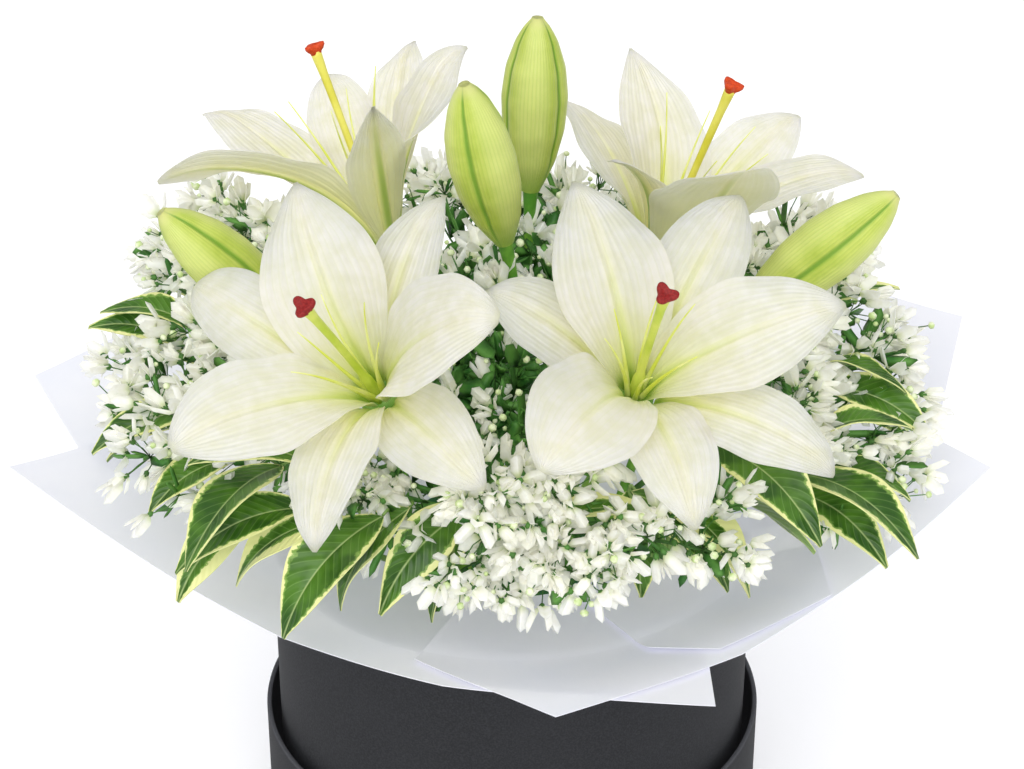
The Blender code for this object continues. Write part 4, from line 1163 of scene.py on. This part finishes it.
def stigma_shape(length, axes, throat):
    """The three-lobed stigma on top of the style: rings that widen as 1 + lobe * cos(3 angle),
    roll over their rim and dip in the middle between the lobes."""
    radius = np.array([2.6, 2.9, 3.8, 4.5, 4.4, 3.4, 1.8]) * MM
    height = length + np.array([-1.5, -0.4, 0.6, 1.8, 3.2, 3.9, 2.9]) * MM
    lobe = np.array([0.02, 0.08, 0.18, 0.26, 0.28, 0.3, 0.15])
    angle = np.arange(36) * math.pi / 18
    reach = radius[:, None] * (1 + lobe[:, None] * np.cos(3 * angle))
    rise = height[:, None] + 0.5 * MM * np.cos(3 * angle) * (radius[:, None] > 4 * MM)
    rings = rings_of(reach, angle, rise)
    low = np.array([[0, 0, height[0] - 0.5 * MM]])
    high = np.array([[0, 0, height[-1] - 0.6 * MM]])
    return ringed(*(points @ axes.T + throat for points in (rings[None], low, high)))


class LILIES_OT_pistils(bpy.types.Operator):
    """Pistils: a grooved ovary, a style that thickens upwards and a three-lobed stigma"""

    bl_idname = "lilies.pistils"
    bl_label = "Make pistils"

    def execute(self, context):
        green = plant_skin("smooth_ripe_style", "#B4C93F", "#D9E070", 22 * MM, 0.35, 0.2)
        yellow = plant_skin("smooth_young_style", "#D3CB3A", "#E9E372", 22 * MM, 0.35, 0.2)
        ripe = plant_skin("velvety_ripe_stigma", "#7A1615", "#93211F", 0.9 * MM, 0.6)
        young = plant_skin("velvety_young_stigma", "#BF3A12", "#D24C1A", 0.9 * MM, 0.55)
        for name, lily in LILIES.items():
            throat, axes = throat_of(lily)
            length = lily["pistil"] * MM - STIGMA_HEIGHT
            share = np.linspace(0, 1, 40)
            knots = [0, 0.04, 0.18, 0.24, 0.6, 0.88, 0.96, 1]
            radii = np.interp(share, knots, [2.4, 2.9, 2.7, 1.8, 1.8, 2.1, 2.6, 2.8]) * MM
            angle = np.arange(24) * math.pi / 12
            groove = 0.07 * np.clip((0.23 - share) / 0.05, 0, 1)[:, None]
            reach = radii[:, None] * (1 + groove * np.cos(6 * angle))
            bow = 1.6 * MM * np.sin(math.pi * share)[:, None]
            rings = rings_of(reach, angle, share[:, None] * length)[None]
            rings[..., 1] += bow
            low = np.array([[0, 0, 0.0]])
            high = np.array([[0, 0, length + 0.3 * MM]])
            shape = ringed(*(points @ axes.T + throat for points in (rings, low, high)))
            node = f"lily_{name}_pistil"
            style, finish = (green, ripe) if name in DARK_STIGMA else (yellow, young)
            piece(f"{node}_style", shape, style, [node])
            shape = stigma_shape(length, axes, throat)
            piece(f"{node}_stigma", shape, finish, [node])
        return {"FINISHED"}


# ---------------------------------------------------------------- buds


def bud_shape(base, way, turn):
    """A closed bud: rings of a radius that swells and tapers along it, times the outline of
    three rounded ribs, |cos(1.5 angle)| to a small power, whose seams close towards the tip. A
    thin inner rib stands up in each seam."""
    share = 0.5 - 0.5 * np.cos(np.linspace(0.06, math.pi - 0.02, 72))
    knots = [0, 0.05, 0.18, 0.36, 0.55, 0.72, 0.87, 0.96, 1]
    widths = [0.26, 0.40, 0.71, 0.94, 1.0, 0.89, 0.62, 0.34, 0.12]
    fine = np.interp(np.linspace(0, 1, 400), knots, widths)
    kernel = np.hanning(41) / np.hanning(41).sum()
    fine = np.convolve(np.pad(fine, 20, mode="edge"), kernel, mode="valid")
    radius = np.interp(share, np.linspace(0, 1, 400), fine) * BUD_RADIUS
    angle = np.arange(108) * 2 * math.pi / 108
    crest = np.abs(np.cos(1.5 * angle))
    rib = crest**0.55
    depth = 0.20 * np.clip(share / 0.25, 0, 1) * (1 - 0.5 * np.clip((share - 0.8) / 0.2, 0, 1))
    outline = 1 - depth[:, None] * (1 - rib)
    inner_rib = 0.035 * np.exp(-((crest / 0.12) ** 2)) * np.sin(math.pi * share)[:, None]
    reach = radius[:, None] * (outline + inner_rib)
    axes = axis_frame(way)
    facing = angle + math.radians(turn)
    rings = rings_of(reach, facing, share[:, None] * BUD_LENGTH)[None]
    low = base - axes[:, 2] * 1 * MM
    high = base + axes[:, 2] * BUD_LENGTH
    along = np.repeat(share, len(angle))
    seam = np.tile(crest, len(share))
    marks = {
        "along": np.concatenate([along, [0, 1]]),
        "seam": np.concatenate([seam, [0.5, 0.5]]),
        "turn": np.concatenate([np.tile(angle, len(share)), [0, 0]]),
    }
    return ringed(rings @ axes.T + base, low[None], high[None], marks)


class LILIES_OT_buds(bpy.types.Operator):
    """Closed lily buds with three rounded ribs, on their own stems"""

    bl_idname = "lilies.buds"
    bl_label = "Make buds"

    def execute(self, context):
        skin = bud_skin(context.scene.lily_bud)
        green = plant_skin("smooth_bud_stalk", "#4F8A2B", "#7DB03F", 12 * MM, 0.42, 0.1)
        for name, (below, tip, away, turn) in BUDS.items():
            to_axis = np.array(away) * BUD_RADIUS
            below, tip = above_rim(below) + to_axis, above_rim(tip) + to_axis
            way = unit(tip - below)
            base = tip - way * BUD_LENGTH
            node = f"bud_{name}"
            shape = bud_shape(base, way, turn)
            piece(f"{node}_skin", shape, skin, [node])
            path = np.concatenate([stem_path(base, way, 0.4, 20)[:-1], [base, base + way * 3 * MM]])
            radii = np.full(len(path), BUD_STEM_RADIUS)
            radii[-4:] = np.array([1.06, 1.2, 1.5, 1.7]) * BUD_STEM_RADIUS
            shape = tubes(path[None], radii[None], 16)
            piece(f"{node}_stalk", shape, green, [node])
        return {"FINISHED"}


# ---------------------------------------------------------------- leaves


def blade_shape(base, tip, half, twist, cream, rows=36, columns=21, arch=0.14):
    """A pointed leaf from base to tip. Its midrib arches over by 4 s (1 - s) and its tip droops,
    its halves fold up from the midrib, its width is a power of sin(pi s), its margins wave, and
    it twists about the midrib towards the tip."""
    share = np.linspace(0, 1, rows)
    chord = tip - base
    length = np.linalg.norm(chord)
    across = unit(np.cross(chord, (0, 0, 1.0)))
    above = np.cross(across, chord) / length
    bow = arch * length * 4 * share * (1 - share) - 0.03 * length * share**4
    width = half * MM * (np.sin(math.pi * np.clip(share, 0, 0.99) ** 0.82) ** 0.9) + 0.35 * MM
    side = np.linspace(-1, 1, columns)
    reach = width[:, None] * side
    lift = 0.22 * np.abs(reach) + 0.9 * MM * np.sin(9 * share + half)[:, None] * side**2
    lift = lift - 0.5 * MM * np.exp(-((reach / (1.2 * MM)) ** 2))
    tilt = math.radians(twist) * (0.3 + share[:, None])
    reach, lift = (
        reach * np.cos(tilt) - lift * np.sin(tilt),
        reach * np.sin(tilt) + lift * np.cos(tilt),
    )
    rib = base + share[:, None] * chord + bow[:, None] * above
    points = rib[:, None] + across * reach[..., None] + above * lift[..., None]
    marks = {
        "along": np.broadcast_to(share[:, None], reach.shape),
        "side": np.broadcast_to(side, reach.shape),
        "across_mm": width[:, None] * side / MM,
        "cream": np.full(reach.shape, cream),
    }
    thickness = np.full(reach.shape, 0.45 * MM)
    marks = {name: value[:, ::-1] for name, value in marks.items()}
    return leafy(points[:, ::-1], thickness, marks)


def on_paper(place):
    """A point given by azimuth, distance from the axis, and height above the paper."""
    azimuth, radius = math.radians(place[0]), place[1] * MM
    height = float(paper_height(radius, azimuth)) + 4 * PAPER_STEP + place[2] * MM
    return np.array((radius * math.cos(azimuth), radius * math.sin(azimuth), height))


class LILIES_OT_leaves(bpy.types.Operator):
    """Sprigs of variegated leaves that lie out over the paper"""

    bl_idname = "lilies.leaves"
    bl_label = "Make leaves"

    def execute(self, context):
        blade = variegated_leaf(context.scene.lily_leaf)
        stalk = plant_skin("leaf_stalk", "#5C7F3A", "#8AA860", 8 * MM, 0.5)
        for name, (hub, leaves) in SPRIGS.items():
            hub = above_rim(hub)
            blades, stalks = [], []
            for number, (base, tip, half, twist) in enumerate(leaves):
                base, tip = on_paper(base), on_paper(tip)
                cream = max(0.0, math.sin(2.4 * number + 4.2)) ** 2
                blades.append(blade_shape(base, tip, half, twist, cream))
                stalks.append(curve_between(hub, base - hub, base, tip - base, 12, 0.3))
            node = f"leaves_{name}"
            piece(f"{node}_blades", joined(blades), blade, [node], crisp=True)
            stalks = np.array(stalks)
            radii = np.broadcast_to(np.linspace(1.1, 0.7, 12) * MM, stalks.shape[:2])
            stem = stem_path(hub, hub - np.array((0, 0, FOAM_TOP)), 0.62, 12)
            stem = tubes(stem[None], np.full((1, len(stem)), 1.5 * MM), 10)
            shape = joined([tubes(stalks, radii, 8), stem])
            piece(f"{node}_stalks", shape, stalk, [node])
        return {"FINISHED"}


# ---------------------------------------------------------------- filler


def petal(length, width, thickness, tilt=0.0, cup=0.0):
    """A small thin leaf or petal along +Z: two four-cornered rings between its poles, wide and
    dished across, and bent along it by the square of the way."""
    share = np.array([0.32, 0.84])
    swell = np.array([0.9, 0.84])[:, None]
    x = np.array([1.0, 0.0, -1.0, 0.0]) * width / 2 * swell
    y = np.array([0.3 * width, thickness, 0.3 * width, 0.0]) * swell
    y = y + cup * share[:, None] ** 2
    rings = np.stack([x, y, np.broadcast_to(share[:, None] * length, x.shape)], -1)
    low, high = np.zeros((1, 3)), np.array([[0, cup + 0.1 * width, length]])
    c, s = math.cos(tilt), math.sin(tilt)
    lean = np.array([[1, 0, 0], [0, c, s], [0, -s, c]])
    marks = {"along": np.concatenate([np.repeat(share, 4), [0.0, 1.0]])}
    return ringed(rings[None] @ lean.T, low @ lean.T, high @ lean.T, marks)


def bead(length, width, sides):
    """A small round body along +Z: two rings between its poles."""
    share = np.array([0.3, 0.72])
    angle = np.arange(sides) * 2 * math.pi / sides
    x, y = np.cos(angle) * width / 2, np.sin(angle) * width / 2
    rings = [np.stack([x, y, np.full(sides, length * at)], -1) for at in share]
    return ringed(np.array([rings]), np.zeros((1, 3)), np.array([[0, 0, length]]))


def floret(petals, opening, length, width):
    """Oblong petals round a green foot, each leaning out by the opening, and one inside."""
    whorls = []
    for layer, (count, lean) in enumerate(((petals, opening), (1, opening * 0.4))):
        size = length * (1 - 0.12 * layer)
        one = petal(size, width, width * 0.10, math.radians(lean), -0.12 * length)
        angle = (np.arange(count) + 0.35 * layer) * 2 * math.pi / count
        ways = np.repeat([[0.0, 0.0, 1.0]], count, axis=0)
        whorls.append(repeated(one, turns_to(ways, angle), np.zeros((count, 3)), np.ones(count)))
    return joined(whorls)


FLORETS = (
    floret(4, 58, 11.5 * MM, 5.6 * MM),
    floret(3, 38, 12.5 * MM, 5.6 * MM),
    floret(3, 22, 12.5 * MM, 5.0 * MM),
)
CALYX = bead(4.2 * MM, 2.8 * MM, 5)
BALL = bead(3.4 * MM, 3.2 * MM, 6)
NEEDLE = petal(14 * MM, 2.6 * MM, 0.4 * MM, cup=1.5 * MM)
LEAFLET = petal(20 * MM, 8 * MM, 0.5 * MM, cup=3 * MM)


class Obstacles:
    """What the filler keeps clear of: finished pieces, and the open cups of the lilies."""

    def __init__(self):
        graph = bpy.context.evaluated_depsgraph_get()
        near = {"petal": 1.0, "skin": 1.0, "blades": 0.35}
        self.trees = []
        for obj in bpy.data.objects:
            share = near.get(obj.name.split("_")[-1])
            if share:
                self.trees.append((BVHTree.FromObject(obj, graph), share))
        self.cups = [throat_of(lily) for lily in LILIES.values()]

    def in_cup(self, point):
        """Whether a point is inside a cone that opens from a lily's throat."""
        for throat, axes in self.cups:
            across_x, across_y, along = (point - throat) @ axes
            if 0 < along < 100 * MM and math.hypot(across_x, across_y) < 0.9 * along + 14 * MM:
                return True
        return False

    def clear(self, point, distance):
        place = Vector(point)
        near = any(tree.find_nearest(place, distance * s)[0] is not None for tree, s in self.trees)
        return not near and not self.in_cup(np.asarray(point))

    def open_way(self, path):
        """Whether nothing lies across a path of points."""
        for start, end in zip(path[:-1], path[1:]):
            step = Vector(end - start)
            for tree, _ in self.trees:
                if tree.ray_cast(Vector(start), step.normalized(), step.length)[0] is not None:
                    return False
        return True


def patch_places(patch, draw):
    """Places spread over an oval patch like the seeds of a sunflower, each moved a little."""
    _, middle, half_a, half_b, count = patch
    index = np.arange(count)
    reach, angle = np.sqrt((index + 0.5) / count), index * GOLDEN_ANGLE
    a, b = np.array(half_a) * MM, np.array(half_b) * MM
    spread = (reach * np.cos(angle))[:, None] * a + (reach * np.sin(angle))[:, None] * b
    return above_rim(middle) + spread + draw.normal(0, 5 * MM, (count, 3))


def outward(places):
    """Ways out of the bouquet from its middle, which lies low in the box."""
    return unit(places - np.array((0, 0, RIM + 10 * MM)))


def build_spray(zone, settings, obstacles, finishes, draw):
    """One spray: branches from its hub to its clusters, and in each cluster florets and ball
    buds on their own fine stalks, with small leaves along the branch, as far as there is room."""
    hub, fullness, leaflet_count = SPRAYS[zone]
    hub = above_rim(hub)
    floret_count = round(settings.florets * fullness)
    clusters = np.concatenate([patch_places(p, draw) for p in PATCHES if p[0] == zone])
    branches, ways = [], []
    for place, way in zip(clusters, outward(clusters)):
        rise = (0.2 * way[0], 0.2 * way[1], 1)
        branch = curve_between(hub, rise, place - way * 9 * MM, way, 9, 0.35)
        if obstacles.clear(place, 6 * MM) and obstacles.open_way(branch):
            branches.append(branch)
            ways.append(way)
    kinds = [[], [], []]
    balls, needles, leaflets, pedicels = [], [], [], []
    for branch, way in zip(branches, ways):
        heart = branch[-1]
        place = heart + way * 7 * MM
        spots = place + draw.normal(0, 6.5 * MM, (floret_count, 3)).clip(-12 * MM, 12 * MM)
        for spot in spots:
            aim = unit(spot - heart + way * 3 * MM + draw.normal(0, 3 * MM, 3) - (0, 0, 3 * MM))
            if obstacles.clear(spot + aim * 6 * MM, 5 * MM) and obstacles.open_way([heart, spot]):
                kinds[draw.integers(3)].append((spot, aim))
                pedicels.append((heart, spot))
        for spot in place + draw.normal(0, 8 * MM, (3, 3)).clip(-11 * MM, 11 * MM):
            if obstacles.clear(spot, 3 * MM) and obstacles.open_way([heart, spot]):
                balls.append((spot, unit(spot - heart)))
                pedicels.append((heart, spot))
        for aim in unit(way + draw.normal(0, 0.8, (5, 3))):
            spot = branch[draw.integers(4, 9)]
            if obstacles.clear(spot + aim * 8 * MM, 5 * MM):
                needles.append((spot, aim))
        for aim in unit(way * 0.7 + draw.normal(0, 0.8, (leaflet_count, 3))):
            spot = branch[draw.integers(3, 9)]
            if obstacles.clear(spot + aim * 10 * MM, 8 * MM):
                leaflets.append((spot, aim))
    branches = np.array(branches)
    pedicels = np.array(pedicels)
    middle = pedicels.mean(axis=1) + draw.normal(0, 0.8 * MM, (len(pedicels), 3))
    pedicels = np.stack([pedicels[:, 0], middle, pedicels[:, 1]], 1)
    hub_path = stem_path(hub, hub - np.array((0, 0, FOAM_TOP)), 0.5, 10)[None]
    stems = [
        tubes(branches, np.broadcast_to(np.linspace(0.85, 0.45, 9) * MM, branches.shape[:2]), 5),
        tubes(pedicels, np.full(pedicels.shape[:2], 0.32 * MM), 3),
        tubes(hub_path, np.full((1, 12), 1.6 * MM), 8),
    ]
    node = f"filler_{zone}"

    def copies(shape, spots, low, high):
        places, aims = (np.array(part) for part in zip(*spots))
        spin = draw.uniform(0, 2 * math.pi, len(places))
        return repeated(shape, turns_to(aims, spin), places, draw.uniform(low, high, len(places)))

    flowers = joined([copies(shape, spots, 0.8, 1.25) for shape, spots in zip(FLORETS, kinds)])
    piece(f"{node}_florets", flowers, finishes["floret"], [node], crisp=True)
    every = [spot for spots in kinds for spot in spots]
    feet = [(spot - aim * 1.6 * MM, aim) for spot, aim in every]
    green = joined([*stems, copies(CALYX, feet, 0.9, 1.2)])
    piece(f"{node}_stems", green, finishes["stem"], [node])
    piece(f"{node}_buds", copies(BALL, balls, 0.7, 1.3), finishes["ball"], [node])
    shape = joined([copies(NEEDLE, needles, 0.6, 1.25), copies(LEAFLET, leaflets, 0.7, 1.2)])
    piece(f"{node}_needles", shape, finishes["needle"], [node])


class LILIES_OT_filler(bpy.types.Operator):
    """Sprays of small white filler flowers on fine branching stems"""

    bl_idname = "lilies.filler"
    bl_label = "Make filler"

    def execute(self, context):
        settings = context.scene.lily_filler
        draw = np.random.default_rng(settings.seed)
        obstacles = Obstacles()
        dark = tuple(value * 0.45 for value in settings.stem)
        finishes = {
            "floret": papery_floret(settings),
            "ball": plant_skin("unopened_floret", "#E9EFD0", "#B9CF8A", 4 * MM, 0.5, 0.1),
            "stem": plant_skin("fine_green_stem", dark, settings.stem, 10 * MM, 0.55),
            "needle": plant_skin("needle_leaf", "#2F6426", "#5D9040", 12 * MM, 0.5),
        }
        for zone in SPRAYS:
            build_spray(zone, settings, obstacles, finishes, draw)
        return {"FINISHED"}


# ---------------------------------------------------------------- stage


SOFT_LIGHT_ANGLE = math.radians(60)
KEY_WAY = (0.16, 0.8, -0.68)
FILL_WAY = (0.0, 0.55, -0.83)
CAMERA_PLACE = (0, -1.0164, 0.785)
CAMERA_TILT = math.radians(61.6)
CAMERA_LENS = 85
CAMERA_SENSOR = 36
FLOOR_REACH = 60.0
FLOOR_BELOW = 0.2 * MM


def camera_of(context):
    """The camera, above and in front of the box and tilted down to it."""
    data = bpy.data.cameras.new("camera")
    data.lens, data.sensor_width = CAMERA_LENS, CAMERA_SENSOR
    camera = bpy.data.objects.new("camera", data)
    context.scene.collection.objects.link(camera)
    camera.location = CAMERA_PLACE
    camera.rotation_euler = (CAMERA_TILT, 0, 0)
    context.scene.camera = camera


def light_of(context, name, strength, way):
    """A wide soft light that shines one way. It returns the light's data."""
    data = bpy.data.lights.new(name, "SUN")
    data.energy, data.angle = strength, SOFT_LIGHT_ANGLE
    light = bpy.data.objects.new(name, data)
    light.rotation_euler = Vector(way).to_track_quat("-Z", "Y").to_euler()
    context.scene.collection.objects.link(light)
    return data


class LILIES_OT_stage(bpy.types.Operator):
    """Pale floor, soft studio light and the camera"""

    bl_idname = "lilies.stage"
    bl_label = "Make stage"

    def execute(self, context):
        settings = context.scene.lily_stage
        values = {"Roughness": 0.85, "Base Color": (*settings.floor, 1)}
        material = finish_of("studio_floor", values)[0]
        mesh = bpy.data.meshes.new("studio_floor")
        corners = ((-1, -1), (1, -1), (1, 1), (-1, 1))
        points = [(x * FLOOR_REACH, y * FLOOR_REACH, -FLOOR_BELOW) for x, y in corners]
        mesh.from_pydata(points, [], [(0, 1, 2, 3)])
        mesh.materials.append(material)
        floor = bpy.data.objects.new("studio_floor", mesh)
        context.scene.collection.objects.link(floor)
        world = bpy.data.worlds.new("daylight")
        world.use_nodes = True
        sky = world.node_tree.nodes["Background"]
        sky.inputs["Color"].default_value = (*linear("#FBFCFF"), 1)
        sky.inputs["Strength"].default_value = settings.daylight
        context.scene.world = world
        light_of(context, "key", settings.key, KEY_WAY)
        light_of(context, "fill", settings.fill, FILL_WAY).use_shadow = False
        context.scene.view_settings.view_transform = "Standard"
        camera_of(context)
        return {"FINISHED"}


# ---------------------------------------------------------------- panel and registration

OPERATORS = (
    LILIES_OT_box,
    LILIES_OT_foam,
    LILIES_OT_paper,
    LILIES_OT_stems,
    LILIES_OT_tepals,
    LILIES_OT_stamens,
    LILIES_OT_pistils,
    LILIES_OT_buds,
    LILIES_OT_leaves,
    LILIES_OT_filler,
    LILIES_OT_stage,
)
SETTINGS = {
    "lily_box": BoxSettings,
    "lily_paper": PaperSettings,
    "lily_lily": LilySettings,
    "lily_bud": BudSettings,
    "lily_leaf": LeafSettings,
    "lily_filler": FillerSettings,
    "lily_stage": StageSettings,
}


class LILIES_PT_panel(bpy.types.Panel):
    """Settings and makers of the lilies in a box"""

    bl_idname = "LILIES_PT_panel"
    bl_label = "Lilies in a Box"
    bl_space_type = "VIEW_3D"
    bl_region_type = "UI"
    bl_category = "Lilies"

    def draw(self, context):
        layout = self.layout
        for group in SETTINGS:
            settings = getattr(context.scene, group)
            box = layout.box()
            for name in settings.__annotations__:
                box.prop(settings, name)
        for operator in OPERATORS:
            layout.operator(operator.bl_idname)


def register():
    for made in (*SETTINGS.values(), *OPERATORS, LILIES_PT_panel):
        bpy.utils.register_class(made)
    for name, group in SETTINGS.items():
        setattr(bpy.types.Scene, name, bpy.props.PointerProperty(type=group))


def unregister():
    for name in SETTINGS:
        delattr(bpy.types.Scene, name)
    for made in reversed((*SETTINGS.values(), *OPERATORS, LILIES_PT_panel)):
        bpy.utils.unregister_class(made)


def main():
    register()
    for operator in OPERATORS:
        group, name = operator.bl_idname.split(".")
        getattr(getattr(bpy.ops, group), name)()


if __name__ == "__main__":
    main()
